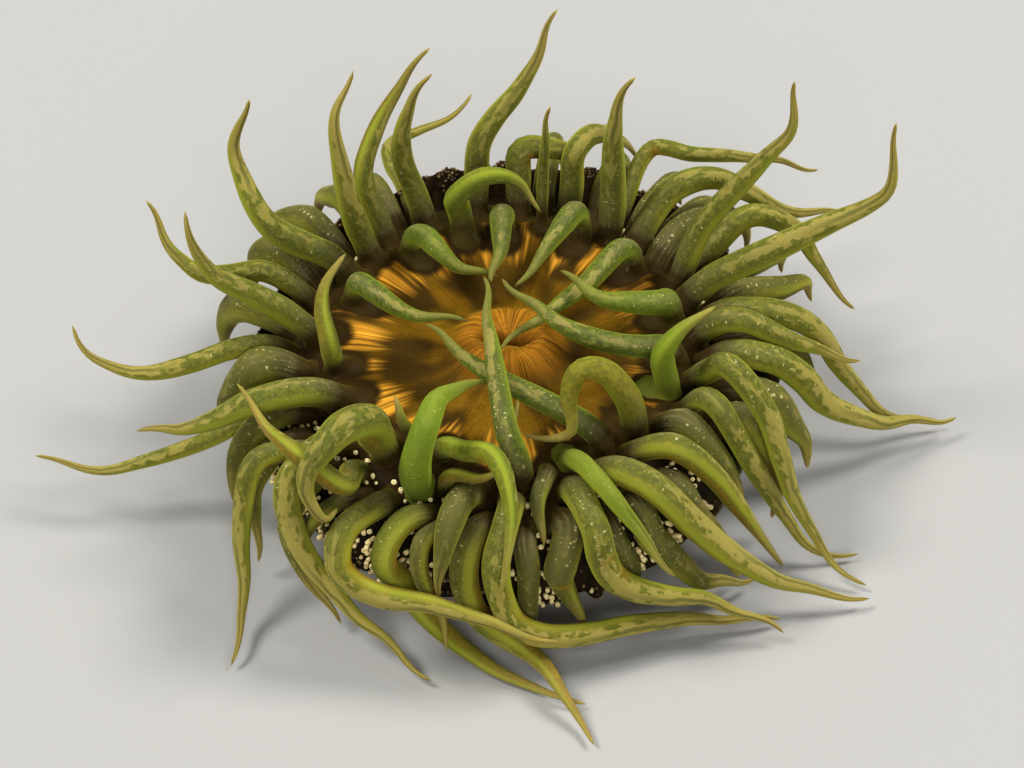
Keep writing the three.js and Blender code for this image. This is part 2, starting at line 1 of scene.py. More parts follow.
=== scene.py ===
"""Sand anemone: one skin over the solids of the frame, its beads and grains, and the stage.

Lengths in the property groups are metres, as in the frame. The mesh code, with its constants
and the patterns' places, works in millimetres, and turns to metres where a mesh is made.
+Z is up, and the column's axis is Z.
"""

import math

import bpy
import numpy as np
from bpy.props import FloatProperty, FloatVectorProperty, IntProperty, PointerProperty
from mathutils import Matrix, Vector
from mathutils.geometry import delaunay_2d_cdt


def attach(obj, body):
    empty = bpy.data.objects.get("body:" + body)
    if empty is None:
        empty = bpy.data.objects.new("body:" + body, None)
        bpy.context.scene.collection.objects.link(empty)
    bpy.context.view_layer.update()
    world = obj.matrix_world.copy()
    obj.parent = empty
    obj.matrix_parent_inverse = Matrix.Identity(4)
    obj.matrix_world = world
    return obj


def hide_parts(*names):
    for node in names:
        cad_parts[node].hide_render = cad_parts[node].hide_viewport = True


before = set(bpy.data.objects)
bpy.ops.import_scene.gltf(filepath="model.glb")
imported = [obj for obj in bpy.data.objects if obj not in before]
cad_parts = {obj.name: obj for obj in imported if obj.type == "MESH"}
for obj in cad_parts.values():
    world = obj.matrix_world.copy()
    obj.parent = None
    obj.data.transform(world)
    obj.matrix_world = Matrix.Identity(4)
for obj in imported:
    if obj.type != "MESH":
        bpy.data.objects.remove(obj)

bl_info = {
    "name": "Sand anemone",
    "version": (1, 0, 0),
    "blender": (4, 5, 0),
    "location": "View3D > Sidebar > Anemone",
    "description": "Builds the skin, beads and stage of a life-size sand anemone",
    "category": "Add Mesh",
}

# A millimetre in metres, a full turn in radians, and the seed of all random draws.
MM = 0.001
TURN = 2 * math.pi
SEED = 20
# Steps between two points of a smooth curve, before it is cut into even lengths.
FINE_STEPS = 24
# Corners round a tentacle's solid, and how near its tip the first ring of them lies at most.
AROUND = 6
TIP_RING = 0.7
# Half width and depth of the mouth's slit.
SLIT_SIDE = 1.15
SLIT_DEPTH = 2.6
# What the outlines of two roots keep clear of each other, each for its half, and what the
# free corners of the bed keep clear of them.
ROOT_GAP = 0.16
FREE_GAP = 0.34
# Shares of the way up from the bed at which a root's rings turn into the tube's.
BLEND_RINGS = (0.02, 0.2, 0.4, 0.6, 0.8)
# Rings that close the foot underneath.
FOOT_RINGS = (18.0, 9.0)
# The tentacles whose flesh is stretched thin and bright, by number, and how much.
BRIGHT = {3: 0.2, 17: 0.2, 20: 0.2, 35: 0.65, 39: 0.2, 44: 0.5, 50: 0.5}
# How far each tentacle's pattern is shifted from the last one's.
SHIFT = np.array([7.3, 3.1, 11.7])
# Where beads crowd on the ruff: bearing and half width of each cluster, in degrees.
CLUSTERS = ((17, 5), (55, 3), (140, 4), (204, 5), (222, 5), (231, 4.5), (241, 5), (250, 4),
            (277, 5), (297, 6), (311, 8), (347, 5))
# Depth of the flesh's bumps and the half size of the floor, in metres.
BUMP = 0.00026
FLOOR = 5.0
# Colour of the light all round.
SKY = (0.93, 0.96, 1.0, 1.0)
# What the camera and the lights look at, and each light's strength and place, in metres.
TARGET = Vector((0.0005, -0.0074, 0.020))
LIGHTS = {
    "key right": ("key", (0.26, 0.10, 0.38)),
    "key left": ("key", (-0.26, 0.02, 0.38)),
    "front": ("front", (0.04, -0.34, 0.26)),
}


# ---- Colours ----------------------------------------------------------------

def paint(code):
    """Linear colour of a hexadecimal sRGB code such as '96a514'."""
    parts = [int(code[i:i + 2], 16) / 255 for i in (0, 2, 4)]
    return tuple(p / 12.92 if p <= 0.04045 else ((p + 0.055) / 1.055) ** 2.4 for p in parts)


def length(name, description, default):
    """A length that a user may change, in metres."""
    return FloatProperty(name=name, description=description, default=default, unit="LENGTH",
                         subtype="DISTANCE", precision=5)


def colour(name, description, code):
    """A colour that a user may change."""
    return FloatVectorProperty(name=name, description=description, default=paint(code),
                               subtype="COLOR", min=0, max=1)


def share(name, description, default, top=1.0):
    """A number from 0 to top that a user may change."""
    return FloatProperty(name=name, description=description, default=default, min=0, max=top,
                         subtype="FACTOR")


def amount(name, description, default):
    """A number from 0 up that a user may change."""
    return FloatProperty(name=name, description=description, default=default, min=0)


def degrees(name, description, default):
    """An angle that a user may change, whose default is given in degrees."""
    return FloatProperty(name=name, description=description, default=math.radians(default),
                         unit="ROTATION", subtype="ANGLE")


def whole(name, description, default, least=1):
    """A whole number from least up that a user may change."""
    return IntProperty(name=name, description=description, default=default, min=least)


# ---- What a user would change -----------------------------------------------

class AnemoneBody(bpy.types.PropertyGroup):
    """Sizes of the crown, ruff, column and foot."""
    mouth: length("Mouth radius", "Where the lips meet the disc", 0.008)
    lip: length("Lip radius", "Radius of the ring that the lips stand up to", 0.0046)
    lip_height: length("Lip height", "Height of the lips over the floor", 0.0216)
    slit: length("Slit length", "Length of the mouth's slit", 0.0086)
    disc: length("Disc radius", "Where the disc ends and the bed of tentacles starts", 0.020)
    disc_height: length("Disc height", "Height of the disc round the mouth", 0.019)
    rim: length("Rim radius", "Where the bed of tentacles ends and the ruff starts", 0.032)
    rim_height: length("Rim height", "Height of the bed's outer edge", 0.0158)
    ruff_lift: length("Ruff lift", "How far the ruff's edge is lifted all round", 0.0036)
    ruff_tilt: length("Ruff tilt", "How much further it stands up behind and hangs in front",
                      0.0062)
    ruff_valley: share("Ruff valley", "Hollows between the ruff's lobes, as a share of its width",
                       0.55)
    lobes: whole("Ruff lobes", "Large lobes round the ruff", 20)
    fronds: whole("Fronds in a lobe", "Small rounded fronds in each lobe", 3)
    frond_swell: length("Frond swell", "How far a frond stands out over its clefts", 0.00075)
    warts: whole("Wart rows", "Rows of warts round the column", 96)
    wart_swell: length("Wart height", "How far a wart stands out of the column", 0.0005)
    columns: whole("Faces round", "Faces round the rim and the column", 480, least=6)


class AnemoneTentacles(bpy.types.PropertyGroup):
    """Shape of the tentacles over the solids of the frame."""
    sides: whole("Sides", "Faces round a tentacle", 16, least=6)
    spacing: length("Ring spacing", "Distance between the rings along a tentacle", 0.0009)
    fit: share("Fit", "Radius as a share of the solid's", 0.97)
    flatness: share("Flatness", "How much a tentacle is flattened on its mouth side", 0.08)
    wander: share("Unevenness", "How much the radius swells and narrows along a tentacle", 0.06)
    tip: length("Tip radius", "Radius of a tentacle's rounded tip", 0.0002)
    slim: length("Slim end", "Length over which a tentacle narrows to its tip", 0.030)
    hook: length("Hook", "How far the slim end waves from side to side", 0.0005)
    flare: length("Root flare", "How far a root spreads into the bed", 0.0003)
    tail: share("Root tail", "Length of the ridge from a root towards the mouth, in radii", 2.0,
                top=4)
    blend: length("Root blend", "Height over which a root turns into the round tentacle", 0.0024)


class AnemonePaint(bpy.types.PropertyGroup):
    """Colours of the flesh."""
    olive: colour("Olive", "Ground colour of the tentacles", "847c2a")
    # Yellow green also paints the glow of light through the tentacles' thin margins.
    lime: colour("Yellow green", "Thin bright sides and swellings of the tentacles", "8f962a")
    leaf: colour("Leaf green", "Tentacles that lean over the disc", "587a1a")
    moss: colour("Dark green", "Dark flesh between the pale patches", "454b1e")
    band: colour("Pale band", "Patches that join into a band towards the tip", "a8984e")
    fleck: colour("Fleck", "Small cream flecks on the tentacles", "bdb57a")
    # Ochre also paints shade, under the outward tentacles and inside their bends.
    ochre: colour("Ochre", "Far sides and bends of the tentacles", "85590e")
    tip: colour("Tip", "Slim ends of the tentacles", "958046")
    root: colour("Root", "Dark roots and middle lines of the tentacles", "433b20")
    # Haze also paints a sheen on the tops of the tentacles folded over the disc.
    haze: colour("Haze", "Grey bloom on the roots", "7a724c")
    gold: colour("Disc", "Golden brown of the disc", "6e4e0a")
    # Disc shade also paints the shade where the roots meet the bed and round them.
    shade: colour("Disc shade", "Dark smudges of the disc", "2f2007")
    orange: colour("Rays", "Bright streaks at the edge of the disc", "da982a")
    lips: colour("Lips", "Orange brown of the lips", "b0741a")
    throat: colour("Throat", "Inside of the slit", "3c1e0a")
    ruff: colour("Ruff", "Near black of the ruff", "16110b")
    # The edge's brown is laid on stronger at the back, as painted light through the thin lobes.
    frill: colour("Ruff edge", "Brown of the ruff's edge", "3d2c17")
    column: colour("Column", "Pale brown of the column", "b39b70")
    wart: colour("Warts", "Warts of the column", "dccba0")


class AnemoneBeads(bpy.types.PropertyGroup):
    """The cream beads in the hollows of the ruff and the grains on its edge."""
    bead: length("Bead", "Diameter of a bead", 0.00067)
    bead_density: amount("Bead density", "Beads on a square metre where they are thickest", 4e6)
    grain: length("Grain", "Diameter of a grain on the ruff's edge", 0.00054)
    grain_density: amount("Grain density", "Grains on a square metre where they are thickest",
                          1.2e7)
    cream: colour("Bead", "Colour of the beads", "fde6a2")
    hollow: colour("Bead hollow", "Colour in the middle of a bead's top", "5f3c16")
    beige: colour("Grain", "Colour of the grains", "755f3c")
    brown: colour("Dark grain", "Colour of the darkest grains", "3a2b18")


class AnemoneStage(bpy.types.PropertyGroup):
    """Camera, light and floor."""
    elevation: degrees("Elevation", "Angle of the camera over the floor", 46)
    distance: length("Distance", "From the camera to what it looks at", 0.340)
    lens: amount("Lens", "Focal length in millimetres", 91.9)
    floor: colour("Floor", "Colour of the floor", "9d9b96")
    width: degrees("Light width", "Angle that each light fills, which softens its shadows", 20)
    key: amount("Key lights", "Strength of each of the two side lights", 2.75)
    front: amount("Front light", "Strength of the light beside the camera", 1.5)
    fill: amount("Fill light", "Strength of the light all round", 0.32)


# ---- Curves and profiles ----------------------------------------------------

def smooth_curve(points, spacing, first=None):
    """A smooth curve through points: (places, share of the way through points for each).

    first is the direction in which the curve starts, where it is fixed."""
    points = np.asarray(points, float)
    gaps = np.sqrt(np.linalg.norm(np.diff(points, axis=0), axis=1)) + 1e-9
    knots = np.concatenate([[0], np.cumsum(gaps)])
    slopes = np.zeros_like(points)
    steps = np.diff(points, axis=0) / gaps[:, None]
    slopes[0], slopes[-1] = steps[0], steps[-1]
    for i in range(1, len(points) - 1):
        slopes[i] = (steps[i - 1] * gaps[i] + steps[i] * gaps[i - 1]) / (gaps[i - 1] + gaps[i])
    if first is not None:
        slopes[0] = np.asarray(first) * np.linalg.norm(steps[0])
    fine, where = [], []
    for i, gap in enumerate(gaps):
        t = np.linspace(0, 1, FINE_STEPS, endpoint=i == len(gaps) - 1)[:, None]
        fine.append((2 * t**3 - 3 * t**2 + 1) * points[i] + (t**3 - 2 * t**2 + t) * gap * slopes[i]
                    + (3 * t**2 - 2 * t**3) * points[i + 1] + (t**3 - t**2) * gap * slopes[i + 1])
        where.append(i + t[:, 0])
    fine, where = np.concatenate(fine), np.concatenate(where)
    along = np.concatenate([[0], np.cumsum(np.linalg.norm(np.diff(fine, axis=0), axis=1))])
    count = max(3, round(along[-1] / spacing))
    wanted = np.linspace(0, along[-1], count + 1)
    places = np.stack([np.interp(wanted, along, fine[:, k]) for k in range(points.shape[1])], 1)
    return places, np.interp(wanted, along, where)


def ease(low, high, value):
    """0 below low, 1 above high and smooth between them."""
    t = np.clip((np.asarray(value, float) - low) / (high - low), 0, 1)
    return t * t * (3 - 2 * t)


def plateau(low, up, down, high, value):
    """0 below low, 1 from up to down, 0 above high and smooth between them."""
    return ease(low, up, value) * (1 - ease(down, high, value))


def unit(vector):
    """The direction of a vector."""
    return vector / max(np.linalg.norm(vector), 1e-12)


class Crown:
    """Heights of the disc, lips and bed, in millimetres."""

    def __init__(self, body):
        self.rim = body.rim / MM
        self.disc = body.disc / MM
        self.mouth = body.mouth / MM
        self.lip = body.lip / MM
        self.slit = body.slit / MM
        lip, floor = body.lip_height / MM, body.disc_height / MM
        line = [(0, lip - 1.0), (self.lip * 0.55, lip - 0.5), (self.lip, lip),
                (self.lip + 1.6, lip - 0.9), (self.mouth, floor + 0.25),
                (self.mouth + 2.5, floor - 0.05), (self.disc - 5, floor + 0.35),
                (self.disc, floor + 1.15), (self.disc + 3, floor + 1.3),
                (self.rim - 4.5, floor - 0.7), (self.rim, body.rim_height / MM)]
        self.line, _ = smooth_curve(line, 0.25)

    def plain(self, reach):
        """Height without folds."""
        return np.interp(reach, self.line[:, 0], self.line[:, 1])

    def normal(self, x, y):
        """Direction straight out of the crown without folds."""
        reach = math.hypot(x, y)
        slope = self.plain(reach + 0.5) - self.plain(reach - 0.5)
        return unit(np.array([-slope * x / reach, -slope * y / reach, 1]))

    def sway(self, x, y):
        """Bearing, a little uneven."""
        reach, angle = np.hypot(x, y), np.arctan2(y, x)
        return angle + 0.05 * np.sin(3 * angle + 1) + 0.03 * np.sin(reach * 0.9 + 2 * angle)

    def ribs(self, x, y):
        """1 on the lips' ribs and 0 in the grooves between them."""
        return np.abs(np.sin(self.sway(x, y) * 17)) ** 0.6

    def throat(self, x, y):
        """1 inside the slit and 0 outside it."""
        return 1 - ease(0.35, 1.15, np.hypot(x / (self.slit / 2), y / SLIT_SIDE))

    def folded(self, x, y):
        """Height with the lips' ribs and swells, the slit and the rays of the disc."""
        reach, angle = np.hypot(x, y), np.arctan2(y, x)
        sway = self.sway(x, y)
        on_lips = plateau(0.6, 2.2, self.mouth - 1.6, self.mouth + 1, reach)
        on_disc = plateau(self.mouth, self.disc - 3, self.disc + 3, self.rim - 3, reach)
        rays = np.sin(sway * 24) * 0.6 + np.sin(sway * 41 + 2) * 0.4
        swells = np.sin(3 * angle + 0.4) * 0.25 + np.sin(5 * angle + 2) * 0.12
        height = self.plain(reach) + 0.38 * (self.ribs(x, y) - 0.6) * on_lips
        height = height + 0.16 * rays * on_disc + swells * on_lips
        return height - SLIT_DEPTH * self.throat(x, y)


# ---- Reading the frame ------------------------------------------------------

def shared_corners(name):
    """(corners in millimetres, set of neighbours of each corner) of a node's mesh."""
    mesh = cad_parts[name].data
    flat = np.empty(len(mesh.vertices) * 3)
    mesh.vertices.foreach_get("co", flat)
    places = np.round(flat.reshape(-1, 3) / MM, 3)
    corners, index = np.unique(places, axis=0, return_inverse=True)
    index = index.reshape(-1)
    near = [set() for _ in corners]
    for polygon in mesh.polygons:
        ring = [int(index[v]) for v in polygon.vertices]
        for a, b in zip(ring, ring[1:] + ring[:1]):
            if a != b:
                near[a].add(b)
                near[b].add(a)
    return corners, near


def rings_from(apex, near):
    """The full rings of corners that follow a tip down its tentacle, and what comes after."""
    seen, level, rings = {apex}, {apex}, []
    while True:
        level = {b for a in level for b in near[a]} - seen
        if len(level) != AROUND:
            return rings, level
        seen |= level
        rings.append(sorted(level))


def tentacle_from(apex, corners, near, at_root):
    """Centres and radii from root to tip, in millimetres.

    at_root says that the rings reach the root, as they do where the tentacle is a node."""
    rings, rest = rings_from(apex, near)
    centres = [corners[ring].mean(axis=0) for ring in rings]
    radii = [np.linalg.norm(corners[ring] - c, axis=1).mean() for ring, c in zip(rings, centres)]
    if not at_root:
        centres.append(corners[sorted(rest)].mean(axis=0))
        radii.append(radii[-1] * 0.97)
    centres, radii = centres[::-1], radii[::-1]
    return np.array(centres + [corners[apex]]), np.array(radii + [0.0])


def read_ruff(lobes):
    """How far the ruff reaches at each of its lobes, in millimetres, counted from +X."""
    corners, _ = shared_corners("ruff")
    turn = np.round(np.arctan2(corners[:, 1], corners[:, 0]) / TURN * lobes, 2) % lobes
    reach = np.hypot(corners[:, 0], corners[:, 1])
    return np.array([reach[turn == lobe].max() for lobe in range(lobes)])


def read_tentacles():
    """The tentacles with a node of their own, and those joined to the bed."""
    single, joined = [], []
    for name in sorted(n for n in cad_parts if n.startswith("tentacle_") and n[-1].isdigit()):
        corners, near = shared_corners(name)
        tips = [i for i, n in enumerate(near) if len(n) == AROUND
                and len(rings_from(i, near)[0]) * AROUND + 1 == len(corners)]
        if len(tips) != 1:
            raise RuntimeError(f"{name} has {len(tips)} tips")
        single.append(tentacle_from(tips[0], corners, near, True))
    corners, near = shared_corners("tentacle_bed")
    for i, around in enumerate(near):
        if len(around) != AROUND or len(rings_from(i, near)[0]) < 2:
            continue
        if np.linalg.norm(corners[sorted(around)] - corners[i], axis=1).max() < TIP_RING:
            joined.append(tentacle_from(i, corners, near, False))
    return single, joined


# ---- The skin ---------------------------------------------------------------

class Skin:
    """Collects corners, faces and the values that the flesh's pattern reads."""

    def __init__(self):
        self.corners, self.faces, self.values = [], [], []

    def add(self, places, **values):
        """Adds corners with their values, and returns the index of the first."""
        start = sum(len(p) for p in self.corners)
        places = np.asarray(places, float)
        self.corners.append(places)
        self.values.append((len(places), values))
        return start

    def ring(self, before, places, down=False, **values):
        """Adds a ring of corners, joins it to the ring before, and returns its indices.

        Rings follow each other up, or down the outside where down is set."""
        start = self.add(places, **values)
        ring = np.arange(start, start + len(places))
        low, high = (ring, before) if down else (before, ring)
        faces = np.stack([low, np.roll(low, -1), np.roll(high, -1), high], 1)
        self.faces.extend(faces.tolist())
        return ring

    def fan(self, ring, middle):
        """Closes a ring with faces that meet in the corner middle."""
        self.faces.extend([a, b, middle] for a, b in zip(ring, np.roll(ring, -1)))

    def mesh(self, name):
        """The mesh in metres, which carries each value at its corners."""
        mesh = bpy.data.meshes.new(name)
        corners = np.concatenate(self.corners)
        mesh.from_pydata((corners * MM).tolist(), [], [[int(i) for i in f] for f in self.faces])
        for key in sorted({key for _, values in self.values for key in values}):
            wide = key == "straight"
            parts = [np.broadcast_to(np.asarray(values.get(key, 0.0), float),
                                     (count, 3) if wide else (count,))
                     for count, values in self.values]
            layer = mesh.attributes.new(key, "FLOAT_VECTOR" if wide else "FLOAT", "POINT")
            layer.data.foreach_set("vector" if wide else "value", np.concatenate(parts).ravel())
        mesh.shade_smooth()
        mesh.validate()
        return mesh


class Tentacle:
    """A smooth tube over one tentacle of the frame, with its root spread on the bed."""

    def __init__(self, centres, radii, crown, shape, number, outer):
        rng = np.random.default_rng(SEED + number)
        self.number = number
        self.angles = np.arange(shape.sides) / shape.sides * TURN
        self.tone = rng.random()
        self.dusk = rng.uniform(0.55, 0.95) if outer else rng.uniform(0, 0.3)
        self.green = rng.uniform(0.3, 1.0)
        self.twist = rng.uniform(-0.7, 0.7)
        self.bright = BRIGHT.get(number + 1, 0.0)
        # The root is held inside the rim, and the tube leaves the crown straight up.
        reach = math.hypot(centres[0][0], centres[0][1])
        held = min(reach, crown.rim - radii[0] - 0.5)
        self.green *= ease(28, 23, held)
        root = np.array([*(centres[0][:2] * held / reach), crown.plain(held)])
        self.up = crown.normal(root[0], root[1])
        centres = np.concatenate([[root], centres[1:]])
        self.places, where = smooth_curve(centres, shape.spacing / MM, first=self.up)
        self.length = (len(self.places) - 1) * shape.spacing / MM
        along = np.linspace(0, 1, len(self.places))
        radius = np.interp(where, np.arange(len(radii)), radii) * shape.fit
        beats = rng.uniform(0.25, 0.6, 3)
        phase = rng.uniform(0, TURN, 3)
        s = along * self.length
        uneven = sum(np.sin(s * b + p) for b, p in zip(beats, phase)) / 3
        radius = radius * (1 + shape.wander * uneven * (1 - along))
        # The slim end narrows to a rounded tip.
        left = self.length - s
        slim = min(shape.slim / MM, self.length * 0.65)
        radius = np.minimum(radius, shape.tip / MM + radius.max() * (left / slim) ** 1.12)
        radius = radius * np.sqrt(1 - np.clip(1 - left / (shape.tip / MM), 0, 1) ** 2)
        self.along, self.s, self.radius = along, s, np.maximum(radius, 0.05)
        # It waves from side to side there, so the sides are found again after it.
        self.frames()
        wave = np.sin(-left * rng.uniform(0.4, 0.6)) * ease(slim * 0.7, 0, left)
        wave = wave * shape.hook / MM * rng.choice([-1, 1]) * min(self.length / 20, 1)
        self.places[1:] += wave[1:, None] * self.across[1:]
        self.frames()
        # 1 where it leans well in over the disc.
        self.inward = ease(2, 8, held - np.hypot(self.places[:, 0], self.places[:, 1]).min())

    def frames(self):
        """Sides and bends along the tube, without twist and with the first side to the mouth."""
        steps = np.diff(self.places, axis=0)
        ways = np.array([unit(s) for s in steps])
        mids = np.array([unit(a + b) for a, b in zip(ways[:-1], ways[1:])])
        tangents = np.concatenate([[self.up], mids, [ways[-1]]])
        turned = np.linalg.norm(ways[1:] - ways[:-1], axis=1) / np.linalg.norm(steps[1:], axis=1)
        inner = np.array([unit(b - a) for a, b in zip(ways[:-1], ways[1:])])
        self.bend = np.concatenate([[[0, 0, 0]], inner * turned[:, None], [[0, 0, 0]]])
        side = np.array([-self.places[0][0], -self.places[0][1], 0])
        sides = []
        for tangent in tangents:
            side = unit(side - tangent * side.dot(tangent))
            sides.append(side)
        self.sides = np.array(sides)
        self.across = np.cross(tangents, self.sides)

    def facing(self, i):
        """Directions out of the tube at station i."""
        return (np.cos(self.angles)[:, None] * self.sides[i]
                + np.sin(self.angles)[:, None] * self.across[i])

    def ring(self, i, shape):
        """Corners of the tube at station i."""
        flat = shape.flatness * (1 - self.along[i]) * np.cos(self.angles)[:, None] * self.sides[i]
        return self.places[i] + (self.facing(i) - flat) * self.radius[i]

    def spread(self, others, crown, shape):
        """The root's outline on the bed, in the plane of the floor, clear of its neighbours."""
        centre = self.places[0][:2]
        ring = self.ring(0, shape)[:, :2] - centre
        ways = ring / np.linalg.norm(ring, axis=1)[:, None]
        inward = -centre / np.linalg.norm(centre)
        towards = ways @ inward
        radius = np.linalg.norm(ring, axis=1)
        wanted = (radius + shape.flare / MM) * (1 + 0.25 * np.clip(-towards, 0, 1) ** 2)
        wanted = wanted * (1 + shape.tail * np.clip(towards, 0, 1) ** 3)
        limit = np.full(shape.sides, np.inf)
        own = self.radius[0]
        for other in others:
            gap = other.places[0][:2] - centre
            squared = gap.dot(gap)
            if other is self or squared > 300:  # More than 17 mm apart.
                continue
            facing = ways @ gap
            bound = (squared + own**2 - other.radius[0] ** 2) / (2 * np.maximum(facing, 1e-6))
            limit = np.where(facing > 1e-6, np.minimum(limit, bound - ROOT_GAP), limit)
        # The outline stays inside the rim and off the lips.
        for reach, sign in ((crown.rim - 0.3, 1), (crown.mouth + 3.5, -1)):
            b = ways @ centre
            inside = b**2 - centre.dot(centre) + reach**2
            root = np.sqrt(np.maximum(inside, 0))
            hit = -b + root if sign > 0 else -b - root
            crossing = (inside > 0) & (hit > 0)
            limit = np.where(crossing, np.minimum(limit, hit), limit)
        # No corner stands out from its neighbours.
        edge = np.clip(np.minimum(wanted, limit), radius * 0.6, None)
        for _ in range(2):
            edge = np.minimum(edge, (np.roll(edge, 1) + np.roll(edge, -1)) / 2 * 1.04)
        self.reach = np.maximum(edge, radius * 0.55)
        self.directions = np.arctan2(ways[:, 1], ways[:, 0])
        return centre + ways * self.reach[:, None]

    def clear(self, x, y):
        """How far places of the plane lie outside the root's outline, seen from its middle."""
        dx, dy = x - self.places[0][0], y - self.places[0][1]
        order = np.argsort(self.directions)
        edge = np.interp(np.arctan2(dy, dx), self.directions[order], self.reach[order], period=TURN)
        return np.hypot(dx, dy) - edge


def grow(skin, tentacle, loop, shape):
    """Joins the tube of a tentacle to its loop of corners on the bed."""
    angles, low = tentacle.angles, loop
    last = min(int(np.searchsorted(tentacle.s, shape.blend / MM)), len(tentacle.s) - 2)
    bed = np.concatenate(skin.corners)[loop]

    def values(i, tube):
        """What the pattern reads at station i, where the flesh is a tube by that share."""
        r, s, turn = tentacle.radius[i], tentacle.s[i], tentacle.twist * tentacle.along[i]
        straight = np.stack([r * np.cos(angles), r * np.sin(angles), np.full(shape.sides, s)], 1)
        return {
            "straight": straight + SHIFT * (tentacle.number + 1), "tube": tube,
            "along": tentacle.along[i], "distance": s, "root": 1 - ease(0.2, 7.5, s),
            "oral": np.cos(angles + turn), "side": np.sin(angles + turn),
            "bend": np.clip(tentacle.facing(i) @ tentacle.bend[i] * r, 0, 1),
            "tone": tentacle.tone, "bright": tentacle.bright, "dusk": tentacle.dusk,
            "green": tentacle.green, "inward": tentacle.inward, "crowd": 1.0,
        }

    for t in BLEND_RINGS:
        at = t * t * last
        i, part = int(at), at - int(at)
        tube = tentacle.ring(i, shape) * (1 - part) + tentacle.ring(i + 1, shape) * part
        places = bed + (tube - bed) * (1 - (1 - t) ** 2)
        low = skin.ring(low, places, **values(i, 0.4 + 0.6 * t))
    for i in range(last, len(tentacle.s) - 1):
        low = skin.ring(low, tentacle.ring(i, shape), **values(i, 1.0))
    end = len(tentacle.s) - 1
    tip = {k: (v[:1] if np.ndim(v) else v) for k, v in values(end, 1.0).items()}
    skin.fan(low, skin.add(tentacle.places[end][None], **tip))


def spread_points(crown, rng):
    """Places over the crown in a loose net: fine on the lips, coarse on the bed."""
    lips, bed, found = crown.mouth + 0.5, crown.disc + 2, []
    for inner, outer, gap in ((0, lips, 0.36), (lips, bed, 0.62), (bed, crown.rim - 0.45, 0.8)):
        reach = inner + gap / 2
        while reach < outer:
            count = max(6, round(TURN * reach / gap))
            angle = (np.arange(count) + rng.random()) / count * TURN
            jitter = rng.uniform(-0.16, 0.16, (2, count)) * gap
            found.append(np.stack([reach * np.cos(angle) + jitter[0],
                                   reach * np.sin(angle) + jitter[1]], 1))
            reach += gap * 0.87
    return np.concatenate(found)


def within(polygon, points):
    """Which points lie inside a polygon of the plane."""
    x, y = points[:, 0], points[:, 1]
    inside = np.zeros(len(points), bool)
    for (x0, y0), (x1, y1) in zip(polygon, np.roll(polygon, -1, axis=0)):
        crosses = (y0 > y) != (y1 > y)
        with np.errstate(divide="ignore", invalid="ignore"):
            at = x0 + (y - y0) / (y1 - y0) * (x1 - x0)
        inside ^= crosses & (x < at)
    return inside


def clustered(angle):
    """How thickly beads stand at a bearing."""
    bearing = np.degrees(angle)
    near = [np.exp(-(((bearing - at + 180) % 360 - 180) / wide) ** 2) for at, wide in CLUSTERS]
    return np.clip(1.6 * np.max(near, axis=0) - 0.1, 0, 1)


def plan_crown(tentacles, crown, body, shape):
    """The flat plan of disc, lips and bed with a hole for each root.

    Returns its corners, its faces and the rings of corners of the rim and of each hole."""
    rng = np.random.default_rng(SEED)
    around = np.arange(body.columns) / body.columns * TURN
    rim = np.stack([crown.rim * np.cos(around), crown.rim * np.sin(around)], 1)
    outlines = [t.spread(tentacles, crown, shape) for t in tentacles]
    free = spread_points(crown, rng)
    for tentacle in tentacles:
        free = free[tentacle.clear(free[:, 0], free[:, 1]) >= FREE_GAP]
    plan = np.concatenate([rim, *outlines, free])
    edges, rings, start = [], [], 0
    for ring in (rim, *outlines):
        index = np.arange(start, start + len(ring))
        edges.extend(zip(index.tolist(), np.roll(index, -1).tolist()))
        rings.append(index)
        start += len(ring)
    result = delaunay_2d_cdt([Vector(p) for p in plan], edges, [], 0, 1e-5)
    origin = [sources[0] if sources else None for sources in result[3]]
    if None in origin or len(origin) != len(plan):
        raise RuntimeError("outlines of two roots cross on the bed")
    faces = np.array([[origin[v] for v in face] for face in result[2]])
    middles = plan[faces].mean(axis=1)
    hidden = np.zeros(len(faces), bool)
    for outline in outlines:
        centre = outline.mean(axis=0)
        close = np.hypot(*(middles - centre).T) < 9
        hidden[close] |= within(outline, middles[close])
    return plan, faces[~hidden], rings


def cover_crown(skin, tentacles, crown, body, shape):
    """The sheet of disc, lips and bed with a loop for each root. Returns (rim, loops)."""
    plan, faces, rings = plan_crown(tentacles, crown, body, shape)
    x, y = plan[:, 0], plan[:, 1]
    reach, height = np.hypot(x, y), crown.folded(x, y)
    # Nearness to the roots, and the outer bed. The bed sinks a little by it, and the pattern paints
    # it darker: painted shade round the roots, the bed's own near black further out.
    crowd = np.zeros(len(plan))
    for tentacle in tentacles:
        crowd = np.maximum(crowd, 1 - ease(0, 2.8, tentacle.clear(x, y)))
    crowd = np.maximum(crowd, ease(crown.disc + 4, crown.rim - 4, reach))
    height[rings[0]] = body.rim_height / MM
    height -= 0.25 * crowd * ease(crown.disc - 2, crown.disc + 3, reach) * (reach < crown.rim - 0.2)
    places = np.stack([x, y, height], 1)
    base = skin.add(places, straight=places, root=1.0, crowd=crowd, rib=crown.ribs(x, y),
                    disc=1 - ease(crown.disc + 1, crown.disc + 6.5, reach),
                    bead=clustered(np.arctan2(y, x)) * ease(crown.rim - 6, crown.rim - 4, reach),
                    lips=1 - ease(crown.mouth - 2.6, crown.mouth + 0.8, reach),
                    throat=crown.throat(x, y))
    a, b, c = (places[faces[:, k]] for k in range(3))
    down = np.cross(b - a, c - a)[:, 2] < 0
    faces[down] = faces[down][:, ::-1]
    skin.faces.extend((faces + base).tolist())
    return rings[0] + base, [ring + base for ring in rings[1:]]


